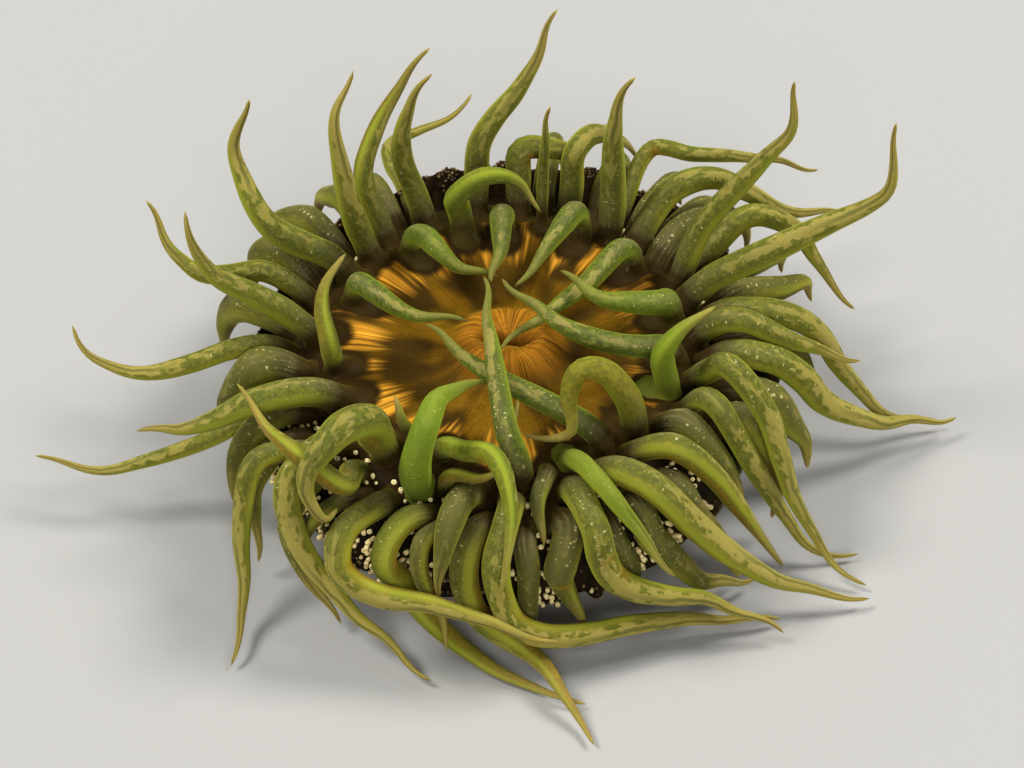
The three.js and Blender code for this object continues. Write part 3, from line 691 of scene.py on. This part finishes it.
def flank_line(body):
    """The outline from the rim over the ruff and down to the foot, and its marks.

    Marks rise from 0 at the rim: 1 at the ruff's edge, 2 where it joins the column,
    3 at the foot and 4 below it."""
    rim, top = body.rim / MM, body.rim_height / MM
    # How far each knot lies out from the rim and below it, and its mark.
    knots = [
        (0, 0, 0), (0.35, 0.7, 0.1), (1.0, 0.75, 0.25), (2.2, 1.6, 0.5), (3.2, 3.1, 0.8),
        (3.9, 4.9, 0.95), (3.85, 6.2, 1.05), (2.9, 7.4, 1.2), (1.2, 8.0, 1.5),
        (-1.5, 7.6, 1.75), (-4.3, 6.6, 1.95), (-5.9, 6.9, 2.0), (-7.2, 8.4, 2.3),
        (-7.8, 10.0, 2.6), (-7.6, 11.6, 2.85), (-6.7, 12.7, 3.0), (-5.6, 13.4, 3.3),
        (-5.05, 14.6, 3.7), (-5.5, top - 0.35, 3.9), (-6.4, top, 4),
    ]
    line, where = smooth_curve([(rim + out, top - down) for out, down, _ in knots], 0.42)
    return line, np.interp(where, np.arange(len(knots)), [mark for *_, mark in knots])


def cover_flank(skin, rim, body):
    """The lathe from the rim over the ruff, down the column and under the foot."""
    around = np.arange(body.columns) / body.columns * TURN
    line, marks = flank_line(body)
    # The ruff hangs loose from start out to widest.
    start, widest = body.rim / MM + 1, line[:, 0].max()
    lobes = np.arange(body.lobes) / body.lobes * TURN
    edge = np.interp(around, lobes, read_ruff(body.lobes), period=TURN)
    tangent = np.gradient(line, axis=0)
    tangent /= np.linalg.norm(tangent, axis=1)[:, None]
    out = np.stack([-tangent[:, 1], tangent[:, 0]], 1)
    sway = around + 0.030 * np.sin(7 * around + 1) + 0.020 * np.sin(13 * around + 4)
    between = (1 - np.cos(sway * body.lobes)) / 2
    count = body.lobes * body.fronds
    grades = np.random.default_rng(SEED).uniform(0.5, 1.25, count)
    uneven = 0.05 * np.sin(23 * around + 1) + 0.04 * np.sin(37 * around + 3)
    crowded = clustered(around)
    granular = ease(0.15, 0.5, np.sin(around)) + np.exp(-((np.degrees(around) - 247) / 9) ** 2)
    ring = rim
    for i in range(1, len(line)):
        (reach, height), mark = line[i], marks[i]
        loose = np.clip((reach - start) / (widest - start), 0, 1)
        # Fronds of uneven size on the ruff.
        on_ruff = plateau(0.02, 0.3, 1.55, 1.95, mark)
        lean = sway + 0.035 * np.sin(9 * around + 2 + 2.2 * mark) * ease(0.1, 0.9, mark)
        frond = np.abs(np.cos(lean * count / 2)) ** 0.55
        grade = grades[np.floor(lean / TURN * count + 0.5).astype(int) % count]
        swell = body.frond_swell / MM * (frond * grade - 0.55) * on_ruff
        # Warts in staggered rows on the column, and faint ribs.
        rows = around * body.warts
        level = height / 1.6 + 0.5 * (np.floor(rows / TURN + 0.5) % 2)
        wart = np.clip(1 - 1.6 * np.hypot(np.sin(rows / 2), np.sin(level * math.pi)), 0, 1)
        wart = wart ** 0.7 * plateau(2.0, 2.3, 3.7, 3.95, mark)
        ribs = 0.1 * np.cos(rows / 2) * plateau(2.0, 2.4, 3.6, 4.0, mark)
        swell = swell + body.wart_swell / MM * wart + ribs
        # Lobes, and the ruff's lift and tilt; larger fronds hang further out and down.
        width = (edge - start) * (1 - body.ruff_valley * between) * (1 - loose * (0.09 + uneven))
        loll = loose * (grade - 0.85) * frond
        r = min(reach, start) + width * loose + swell * out[i, 0] + 0.9 * loll
        z = height + swell * out[i, 1] - 1.4 * loll
        z = z + loose * (body.ruff_lift + body.ruff_tilt * np.sin(around)) / MM
        places = np.stack([r * np.cos(around), r * np.sin(around), z], 1)
        on_edge = 0.12 * ease(0.3, 0.7, mark) + ease(0.6, 0.85, mark)
        on_edge = on_edge * (1 - ease(1.0, 1.2, mark))
        ring = skin.ring(ring, places, down=True, straight=places, cleft=1 - frond, wart=wart,
                         ruff=plateau(0.0, 0.25, 1.7, 2.1, mark), trunk=ease(1.7, 2.1, mark),
                         bead=crowded * plateau(0.15, 0.35, 0.95, 1.15, mark),
                         grain=on_edge * frond**2 * (0.1 + 0.9 * granular),
                         edge=plateau(0.35, 0.9, 1.1, 1.5, mark),
                         top=on_ruff * (1 - ease(0.9, 1.1, mark)),
                         back=(1 + np.sin(around)) / 2)
    for reach in FOOT_RINGS:
        places = np.stack([reach * np.cos(around), reach * np.sin(around), 0 * around], 1)
        ring = skin.ring(ring, places, down=True, straight=places, trunk=1.0)
    skin.fan(ring[::-1], skin.add([[0, 0, 0]], straight=[[0, 0, 0]], trunk=1.0))


def new_object(name, data):
    """An object of the scene for a mesh, camera or light."""
    obj = bpy.data.objects.new(name, data)
    bpy.context.scene.collection.objects.link(obj)
    return obj


# ---- Materials --------------------------------------------------------------

class Flow:
    """An output socket that adds, subtracts and multiplies as a number does."""

    def __init__(self, maker, socket):
        self.maker, self.socket = maker, socket

    def maths(self, operation, a, b):
        """A Math node on two numbers or outputs."""
        return self.maker.node("ShaderNodeMath", {"operation": operation}, {0: a, 1: b})

    def __add__(self, other):
        return self.maths("ADD", self, other)

    def __sub__(self, other):
        return self.maths("SUBTRACT", self, other)

    def __mul__(self, other):
        return self.maths("MULTIPLY", self, other)

    def __rsub__(self, other):
        return self.maths("SUBTRACT", other, self)

    def __abs__(self):
        return self.maker.node("ShaderNodeMath", {"operation": "ABSOLUTE"}, {0: self})

    __radd__, __rmul__ = __add__, __mul__

    def most(self, other):
        """The larger of the two."""
        return self.maths("MAXIMUM", self, other)

    def rise(self, low, high):
        """0 where this is below low, 1 where it is above high, and smooth between."""
        return self.maker.node("ShaderNodeMapRange", {"interpolation_type": "SMOOTHSTEP"},
                               {"Value": self, "From Min": low, "From Max": high})

    def output(self, name):
        """Another output of the same node."""
        return Flow(self.maker, self.socket.node.outputs[name])


class Maker:
    """Makes the nodes of one tree."""

    def __init__(self, tree):
        self.tree = tree

    def node(self, kind, settings=None, values=None, output=0):
        """A node with its settings, then the values or links of its inputs."""
        node = self.tree.nodes.new(kind)
        for key, value in (settings or {}).items():
            setattr(node, key, value)
        for key, value in (values or {}).items():
            self.fill(node.inputs[key], value)
        return None if output is None else Flow(self, node.outputs[output])

    def fill(self, socket, value):
        """Links an output to a socket, or sets the socket's own value."""
        if isinstance(value, Flow):
            self.tree.links.new(value.socket, socket)
        elif socket.type == "RGBA" and len(value) == 3:
            socket.default_value = (*value, 1)
        else:
            socket.default_value = value


class Paint(Maker):
    """One material round a Principled shader, whose constants are set on its own sockets."""

    def __init__(self, name, **constants):
        self.material = bpy.data.materials.new(name)
        self.material.use_nodes = True
        super().__init__(self.material.node_tree)
        self.shader = self.tree.nodes["Principled BSDF"]
        for key, value in constants.items():
            self.shader.inputs[key.replace("_", " ")].default_value = value

    def value(self, name, output="Fac"):
        """A number that the mesh carries, or a vector as the output Vector."""
        return self.node("ShaderNodeAttribute", {"attribute_name": name}, output=output)

    def values(self, *names):
        """Several numbers that the mesh carries."""
        return [self.value(name) for name in names]

    def scaled(self, vector, by):
        """A vector stretched by a factor along each axis."""
        return self.node("ShaderNodeVectorMath", {"operation": "MULTIPLY"}, {0: vector, 1: by})

    def noise(self, vector, scale, detail=2.0, roughness=0.5):
        """Cloudy noise round 0.5."""
        return self.node("ShaderNodeTexNoise", None, {
            "Vector": vector, "Scale": scale, "Detail": detail, "Roughness": roughness})

    def cells(self, vector, scale):
        """Distance to the nearest of scattered points, and a random number for each."""
        cell = self.node("ShaderNodeTexVoronoi", None, {"Vector": vector, "Scale": scale})
        chance = self.node("ShaderNodeSeparateColor", None, {"Color": cell.output("Color")})
        return cell, chance

    def mix(self, mask, low, high):
        """The colour low where the mask is 0 and high where it is 1."""
        return self.node("ShaderNodeMix", {"data_type": "RGBA"}, {0: mask, 6: low, 7: high},
                         output=2)

    def layers(self, base, *over):
        """The colour base with others laid over it in turn, each given as (mask, colour)."""
        for mask, top in over:
            base = self.mix(mask, base, top)
        return base

    def finish(self, base, roughness, height=None, depth=0):
        """Links the colour and roughness, and a bump of height in metres at full depth."""
        self.fill(self.shader.inputs["Base Color"], base)
        self.fill(self.shader.inputs["Roughness"], roughness)
        if height is not None:
            bump = self.node("ShaderNodeBump", None, {"Height": height, "Strength": 1.0,
                                                      "Distance": depth}, output="Normal")
            self.fill(self.shader.inputs["Normal"], bump)
        return self.material


def tentacle_paint(m, p, place):
    """Colour and bump height of the tentacles, along their own straightened length."""
    along, distance, bend, root = m.values("along", "distance", "bend", "root")
    oral, side, inward, green = m.values("oral", "side", "inward", "green")
    tone, bright, dusk = m.values("tone", "bright", "dusk")
    flank = abs(side)
    ragged = m.noise(m.scaled(place, (1.0, 1.0, 0.5)), 1.05, 5.0, 0.55)
    cloud = m.noise(place, 0.28, 2.0)
    fine = m.noise(place, 1.6, 4.0, 0.65)

    # Where on the tube: far from the mouth, folded over the disc, on the blotched face, near
    # the root and at the slim end.
    far = (0.0 - oral).rise(0.0, 0.6)
    folded = far * inward
    face = oral.rise(-0.45, -0.1).most(folded)
    low = 1 - distance.rise(4.0, 14.0)
    slim = along.rise(0.6, 0.95)

    # Green flesh, and pale patches on moss that grow into a band.
    leafy = (inward * 0.6).most((1 - cloud.rise(0.3, 0.55)) * 0.35).most(green * 0.5)
    middle = 1 - (flank + 0.6 * (fine - 0.5)).rise(0.74, 0.92) * oral.rise(-0.4, 0.0).most(folded)
    growth = distance.rise(3.0, 26.0) * (0.7 + 0.4 * tone)
    mossy = face * middle * (1 - slim * 0.7) * (1 - bright * 0.75)
    bloom = (0.4 - flank) * 0.26
    patches = (ragged + 0.27 * growth + bloom - 0.63).rise(0.0, 0.05)
    patches = patches * (1 - inward * slim * 0.7)
    flesh = m.layers(
        p.olive,
        (cloud.rise(0.35, 0.8) * 0.4, p.lime),
        (leafy, p.leaf),
        # On the far side, ochre and dark green: partly the flesh's own colour, partly painted shade
        # under the outward tentacles.
        (far * (1 - inward) * (1 - green * 0.8) * 0.6, p.ochre),
        (far * fine.rise(0.38, 0.62) * 0.55, p.moss),
        (mossy * (0.45 + 0.45 * fine.rise(0.38, 0.6)) * (1 - growth * 0.3), p.moss),
        (patches * mossy * (0.32 + 0.36 * growth), p.band))

    # Bloom with a painted sheen on top of those folded over the disc, the darker outer tentacles, the
    # stretched ones, and the painted glow of light through the thin margins.
    veil_and_sheen = (1 - flank.rise(0.1, 0.7)) * (folded * 0.4 + low * 0.5) * (1 - bright * 0.7)
    rim_glow = flank.rise(0.9, 1.0) * (oral + 0.3).rise(-0.2, 0.2)
    flesh = m.layers(
        flesh,
        (veil_and_sheen * 0.5, p.haze),
        (dusk * (1 - slim * 0.6) * 0.55, m.mix(fine.rise(0.42, 0.7) * 0.35, p.root, p.haze)),
        (bright, m.mix(0.35 + 0.5 * cloud, p.lime, p.leaf)),
        (rim_glow * (1 - low * 0.5) * (1 - slim * 0.4) * 0.55, p.lime))

    # Flecks and finer dust, painted shade in ochre inside the bends, and a dark line along the slim
    # end.
    cell, chance = m.cells(m.scaled(place, (0.6, 0.6, 1.4)), 1.9)
    size = 0.55 * (chance + 0.35 * (1 - abs(flank - 0.45).rise(0.1, 0.4)) - 0.68 + 0.12 * dusk)
    specks = (size - cell).rise(0.0, 0.12) * face * (1 - along.rise(0.25, 0.6))
    specks = specks * (1 - bright * 0.6)
    dots, luck = m.cells(place, 2.5)
    dust = (0.5 * (luck - 0.55 + 0.15 * dusk.most(inward)) - dots).rise(0.0, 0.12) * face
    dust = dust * (1 - growth.rise(0.4, 0.9))
    bend_shade = bend.rise(0.05, 0.45) * (1 - inward) * (1 - bright) * (1 - slim)
    line = abs(side + 0.9 * (cloud - 0.5) + 0.3 * (ragged - 0.5))
    median = (1 - line.rise(0.1, 0.35)) * oral.rise(0, 0.3) * along.rise(0.42, 0.65)
    flesh = m.layers(
        flesh,
        ((specks * 0.75).most(dust * 0.75), p.fleck),
        (bend_shade * 0.65, p.ochre),
        (slim * 0.6, m.mix(inward * 0.6, p.tip, p.moss)),
        (median * 0.65, m.mix(slim, p.moss, p.root)))

    # Dark roots with grey strands, and painted shade where each root meets the bed.
    strands = m.noise(m.scaled(place, (2.4, 2.4, 0.15)), 1.0, 3.0)
    base = m.layers(
        p.root,
        (strands.rise(0.42, 0.62) * (0.12 + 0.5 * dusk), p.haze),
        (specks.most(dust) * 0.4, p.fleck),
        ((1 - distance.rise(0.2, 3.0)) * 0.9, p.shade))
    flesh = m.mix((root * (1 - bright * 0.85)).rise(0.1, 0.95), flesh, base)

    folds = m.noise(m.scaled(place, (0.35, 0.35, 2.6)), 1.0, 3.0)
    height = folds * (0.12 + 2.6 * bend.rise(0.12, 0.7)) + fine * 0.3 + specks * 0.15
    return flesh, height


def crown_paint(m, p, place):
    """Colour and bump height of the disc, lips and bed."""
    level = m.scaled(place, (1.0, 1.0, 0.0))
    reach = m.node("ShaderNodeVectorMath", {"operation": "LENGTH"}, {0: level}, output="Value")
    way = m.node("ShaderNodeVectorMath", {"operation": "NORMALIZE"}, {0: level})
    crowd, disc, lips, rib, throat = m.values("crowd", "disc", "lips", "rib", "throat")

    def streaks(scale, detail=1.0):
        """Noise that runs straight out from the mouth, in more streaks as scale grows."""
        return m.noise(m.scaled(way, (scale, scale, 0.0)), 1.0, detail)

    threads, strands = streaks(34.0, 2.0), streaks(17.0)
    bundles, wedges = streaks(6.0), streaks(2.6)
    smudge = 0.5 * wedges + 0.5 * m.noise(place, 0.14, 1.5, 0.5)
    fine = m.noise(place, 1.6, 4.0, 0.65)

    # The rays lie in a ring before the roots, in bundles, on darker gold.
    start = reach + 7.0 * (strands - 0.5) + 5.0 * (bundles - 0.5)
    zone = start.rise(15.5, 19.5)
    lit = zone * (1 - start.rise(23.0, 26.0)) * bundles.rise(0.42, 0.52)
    lit = lit * (1 - (crowd + 0.5 * (strands - 0.5)).rise(0.45, 0.95))
    gold = m.layers(
        p.gold,
        (threads.rise(0.4, 0.6) * fine.rise(0.35, 0.65) * 0.45, p.shade),
        (smudge.rise(0.42, 0.58) * 0.9, p.shade),
        (zone * 0.7, p.shade))
    base = m.mix((0.6 + 0.4 * fine) * (1 - reach.rise(23.0, 28.0) * 0.6), p.ruff, p.shade)
    # The lips are darker in the grooves between their ribs, as painted shade, with fine streaks along
    # them.
    ridges = 0.25 + 0.75 * threads.rise(0.38, 0.6) * (0.5 + 0.5 * rib)
    skin = m.layers(
        base,
        (disc, gold),
        # Painted shade round and between the roots, in the bed's dark colour.
        ((crowd + 0.9 * (strands - 0.5)).rise(0.25, 0.95), base),
        (lit * (0.2 + 0.8 * threads.rise(0.4, 0.58)), p.orange),
        (lips, m.mix(ridges, p.shade, p.lips)),
        (throat, p.throat))
    return skin, threads * (0.1 + 0.25 * lit.most(lips)) + fine * 0.3


def flank_paint(m, p, place):
    """Colour and bump height of the ruff, column and foot."""
    mottle = m.noise(place, 0.9, 4.0, 0.6)
    fine = m.noise(place, 4.0, 3.0)
    edge, cleft, back, top, wart = m.values("edge", "cleft", "back", "top", "wart")
    # The brown edge, stronger towards the back: partly the ruff's own brown, partly painted light
    # through the thin lobes; also on the tops of the back lobes.
    frill = (edge * (0.25 + 0.75 * back)).most(top * back.rise(0.75, 0.95) * 0.7)
    ruff = m.mix(frill * (1 - cleft.rise(0.3, 0.9)) * mottle.rise(0.3, 0.6), p.ruff, p.frill)
    column = m.layers(
        p.column,
        (mottle.rise(0.35, 0.7) * 0.3, p.frill),
        (wart.rise(0.1, 0.5) * 0.8, p.wart))
    return m.mix(m.value("trunk"), ruff, column), mottle * 0.6 + fine * 0.4


def flesh_material(p):
    """The skin's material: tentacles, crown and flank, each shown where the mesh says."""
    m = Paint("flesh", Subsurface_Weight=0.35, Subsurface_Scale=0.0009,
              Subsurface_Radius=(1.0, 0.8, 0.25), IOR=1.1, Sheen_Weight=0.25, Sheen_Roughness=0.3,
              Sheen_Tint=(0.5, 0.55, 0.05, 1))
    place = m.value("straight", "Vector")
    tentacle, tentacle_height = tentacle_paint(m, p, place)
    crown, crown_height = crown_paint(m, p, place)
    flank, flank_height = flank_paint(m, p, place)
    tube, ruff, trunk = m.values("tube", "ruff", "trunk")
    below = ruff.most(trunk)
    base = m.layers(crown, (below, flank), (tube.rise(0.0, 0.5), tentacle))
    height = crown_height * (1 - below) * (1 - tube) + flank_height * below + tentacle_height * tube
    roughness = 0.56 + 0.2 * m.noise(place, 1.1, 2.0) - 0.22 * tube
    return m.finish(base, roughness, height, BUMP)


def bead_material(name, light, dark, low, high, most):
    """Light beads or grains: dark in the cup, and dark by up to most as their tone rises."""
    m = Paint(name, Subsurface_Weight=0.2, Subsurface_Scale=0.0003,
              Subsurface_Radius=(1.0, 0.9, 0.6), IOR=1.35)
    worn = m.value("tone").rise(low, high) * most
    return m.finish(m.mix(worn.most(m.value("cup").rise(0.0, 0.6) * 0.85), light, dark), 0.4)


# ---- Scattering -------------------------------------------------------------

def lathe(name, profile, sides, cup):
    """A closed shape of profile (reach, height) turned round Z, of unit size; cup marks its top."""
    turn = np.arange(sides) / sides * TURN
    corners = [(r * math.cos(a), r * math.sin(a), z) for r, z in profile[1:-1] for a in turn]
    corners += [(0, 0, profile[0][1]), (0, 0, profile[-1][1])]
    faces, last = [], (len(profile) - 3) * sides
    for i in range(sides):
        j = (i + 1) % sides
        for low in range(0, last, sides):
            faces.append((low + i, low + j, low + sides + j, low + sides + i))
        faces.append((j, i, len(corners) - 2))
        faces.append((last + i, last + j, len(corners) - 1))
    mesh = bpy.data.meshes.new(name)
    mesh.from_pydata(corners, [], faces)
    layer = mesh.attributes.new("cup", "FLOAT", "POINT")
    layer.data.foreach_set("value", [0.0] * (len(corners) - 1) + [cup])
    mesh.shade_smooth()
    return new_object(name, mesh)


def scatter_tree(name, mask):
    """A tree that sets copies of a shape on a ground, as thick as its mask says.

    Returns the tree and its inputs' identifiers by name."""
    tree = bpy.data.node_groups.new(name, "GeometryNodeTree")
    face = tree.interface
    face.new_socket("Geometry", in_out="OUTPUT", socket_type="NodeSocketGeometry")
    kinds = {"Ground": "Object", "Shape": "Object", "Density": "Float", "Gap": "Float",
             "Size": "Float", "Material": "Material"}
    ids = {key: face.new_socket(key, in_out="INPUT", socket_type="NodeSocket" + kind).identifier
           for key, kind in kinds.items()}
    m = Maker(tree)
    given = m.node("NodeGroupInput")
    ground, shape = [m.node("GeometryNodeObjectInfo", None, {"Object": given.output(key)},
                            output="Geometry") for key in ("Ground", "Shape")]
    thick = m.node("GeometryNodeInputNamedAttribute", {"data_type": "FLOAT"}, {"Name": mask})
    points = m.node("GeometryNodeDistributePointsOnFaces", {"distribute_method": "POISSON"}, {
        "Mesh": ground, "Distance Min": given.output("Gap"), "Density Max": given.output("Density"),
        "Density Factor": thick, "Seed": SEED})
    lean = m.node("FunctionNodeRandomValue", {"data_type": "FLOAT_VECTOR"}, {
        "Min": (-0.4, -0.4, 0.0), "Max": (0.4, 0.4, TURN), "Seed": SEED + 1})
    turned = m.node("FunctionNodeRotateRotation", {"rotation_space": "LOCAL"}, {
        "Rotation": points.output("Rotation"), "Rotate By": lean})
    grade = m.node("FunctionNodeRandomValue", {"data_type": "FLOAT"}, {
        "Min": 0.7, "Max": 1.15, "Seed": SEED + 2}, output=1)
    copies = m.node("GeometryNodeInstanceOnPoints", None, {
        "Points": points, "Instance": shape, "Rotation": turned,
        "Scale": grade * given.output("Size")})
    chance = m.node("FunctionNodeRandomValue", {"data_type": "FLOAT"}, {"Seed": SEED + 3}, output=1)
    named = m.node("GeometryNodeStoreNamedAttribute", {"data_type": "FLOAT", "domain": "INSTANCE"}, {
        "Geometry": copies, "Name": "tone", "Value": chance})
    real = m.node("GeometryNodeRealizeInstances", None, {"Geometry": named})
    done = m.node("GeometryNodeSetMaterial", None, {
        "Geometry": real, "Material": given.output("Material")})
    m.node("NodeGroupOutput", None, {"Geometry": done}, output=None)
    return tree, ids


def scatter(context, name, mask, shape, ground, size, gap, density, material):
    """A piece of many copies of shape on the ground, as one plain mesh."""
    tree, ids = scatter_tree(name, mask)
    obj = new_object(name, bpy.data.meshes.new(name))
    modifier = obj.modifiers.new(name, "NODES")
    modifier.node_group = tree
    wanted = {"Ground": ground, "Shape": shape, "Density": density, "Gap": gap, "Size": size,
              "Material": material}
    for key, value in wanted.items():
        modifier[ids[key]] = value
    ready = obj.evaluated_get(context.evaluated_depsgraph_get())
    mesh = bpy.data.meshes.new_from_object(ready)
    obj.modifiers.clear()
    obj.data = mesh
    if not len(mesh.polygons):
        raise RuntimeError(f"{name} has no copies")
    bpy.data.objects.remove(shape)
    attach(obj, "root")
    return obj


# ---- Operators --------------------------------------------------------------

class ANEMONE_OT_skin(bpy.types.Operator):
    """One skin of flesh over all the solids, from the tips of the tentacles to the foot"""
    bl_idname = "anemone.skin"
    bl_label = "Skin"

    def execute(self, context):
        body, shape = context.scene.anemone_body, context.scene.anemone_tentacles
        crown = Crown(body)
        skin = Skin()
        single, joined = read_tentacles()
        tentacles = [Tentacle(c, r, crown, shape, i, i >= len(single))
                     for i, (c, r) in enumerate(single + joined)]
        rim, loops = cover_crown(skin, tentacles, crown, body, shape)
        for tentacle, loop in zip(tentacles, loops):
            grow(skin, tentacle, loop, shape)
        cover_flank(skin, rim, body)
        obj = new_object("skin", skin.mesh("skin"))
        obj.data.materials.append(flesh_material(context.scene.anemone_paint))
        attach(obj, "root")
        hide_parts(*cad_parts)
        return {"FINISHED"}


class ANEMONE_OT_beads(bpy.types.Operator):
    """Cream beads in the hollows of the ruff, and the fine grains on its edge"""
    bl_idname = "anemone.beads"
    bl_label = "Beads"

    def execute(self, context):
        beads, skin = context.scene.anemone_beads, bpy.data.objects["skin"]
        bead = lathe("bead", ((0, -0.2), (0.38, -0.2), (0.5, 0.6), (0.44, 1.05), (0.24, 1.15),
                              (0, 0.95)), sides=8, cup=1.0)
        cream = bead_material("beads", beads.cream, beads.hollow, low=0.5, high=1.0, most=0.2)
        scatter(context, "beads", "bead", bead, skin, beads.bead, beads.bead * 1.25,
                beads.bead_density, cream)
        grain = lathe("grain", ((0, -0.2), (0.4, -0.1), (0.45, 0.3), (0, 0.6)), sides=5,
                      cup=0.0)
        brown = bead_material("grains", beads.beige, beads.brown, low=0.2, high=0.7, most=1.0)
        scatter(context, "grains", "grain", grain, skin, beads.grain, beads.grain * 0.6,
                beads.grain_density, brown)
        return {"FINISHED"}


class ANEMONE_OT_stage(bpy.types.Operator):
    """Pale floor, soft light and the camera"""
    bl_idname = "anemone.stage"
    bl_label = "Stage"

    def execute(self, context):
        stage = context.scene.anemone_stage
        mesh = bpy.data.meshes.new("floor")
        mesh.from_pydata([(x * FLOOR, y * FLOOR, 0) for x, y in ((-1, -1), (1, -1), (1, 1), (-1, 1))],
                         [], [(0, 1, 2, 3)])
        floor = new_object("floor", mesh)
        material = bpy.data.materials.new("pale floor")
        material.use_nodes = True
        shader = material.node_tree.nodes["Principled BSDF"]
        shader.inputs["Base Color"].default_value = (*stage.floor, 1)
        shader.inputs["Roughness"].default_value = 0.85
        mesh.materials.append(material)

        camera = new_object("camera", bpy.data.cameras.new("camera"))
        away = Vector((0, -math.cos(stage.elevation), math.sin(stage.elevation)))
        camera.location = TARGET + away * stage.distance
        camera.rotation_euler = (-away).to_track_quat("-Z", "Y").to_euler()
        camera.data.lens = stage.lens
        camera.data.sensor_width = 36
        camera.data.clip_start = 0.01
        context.scene.camera = camera

        for name, (strength, place) in LIGHTS.items():
            light = bpy.data.lights.new(name, "SUN")
            light.angle = stage.width
            light.energy = getattr(stage, strength)
            lamp = new_object(name, light)
            lamp.location = place
            lamp.rotation_euler = (TARGET - lamp.location).to_track_quat("-Z", "Y").to_euler()

        world = bpy.data.worlds.new("studio")
        world.use_nodes = True
        background = world.node_tree.nodes["Background"]
        background.inputs["Color"].default_value = SKY
        background.inputs["Strength"].default_value = stage.fill
        context.scene.world = world
        context.scene.view_settings.view_transform = "Standard"
        return {"FINISHED"}


class ANEMONE_PT_parts(bpy.types.Panel):
    """The sizes, colours and operators of the anemone"""
    bl_label = "Sand anemone"
    bl_idname = "ANEMONE_PT_parts"
    bl_space_type = "VIEW_3D"
    bl_region_type = "UI"
    bl_category = "Anemone"

    def draw(self, context):
        for name in GROUPS:
            box = self.layout.box()
            group = getattr(context.scene, name)
            for key in group.bl_rna.properties.keys():
                if key not in ("rna_type", "name"):
                    box.prop(group, key)
        for operator in OPERATORS:
            self.layout.operator(operator.bl_idname)


# Each property group by its name on the scene, and the operators in their order.
GROUPS = {
    "anemone_body": AnemoneBody,
    "anemone_tentacles": AnemoneTentacles,
    "anemone_paint": AnemonePaint,
    "anemone_beads": AnemoneBeads,
    "anemone_stage": AnemoneStage,
}
OPERATORS = (ANEMONE_OT_skin, ANEMONE_OT_beads, ANEMONE_OT_stage)


def register():
    """Makes the classes known and hangs the property groups on the scene."""
    for cls in (*GROUPS.values(), *OPERATORS, ANEMONE_PT_parts):
        bpy.utils.register_class(cls)
    for name, group in GROUPS.items():
        setattr(bpy.types.Scene, name, PointerProperty(type=group))


def unregister():
    """Undoes what register does."""
    for name in GROUPS:
        delattr(bpy.types.Scene, name)
    for cls in (ANEMONE_PT_parts, *OPERATORS[::-1], *list(GROUPS.values())[::-1]):
        bpy.utils.unregister_class(cls)


def main():
    """Builds all the pieces."""
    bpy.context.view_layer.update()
    register()
    bpy.ops.anemone.skin()
    bpy.ops.anemone.beads()
    bpy.ops.anemone.stage()


if __name__ == "__main__":
    main()
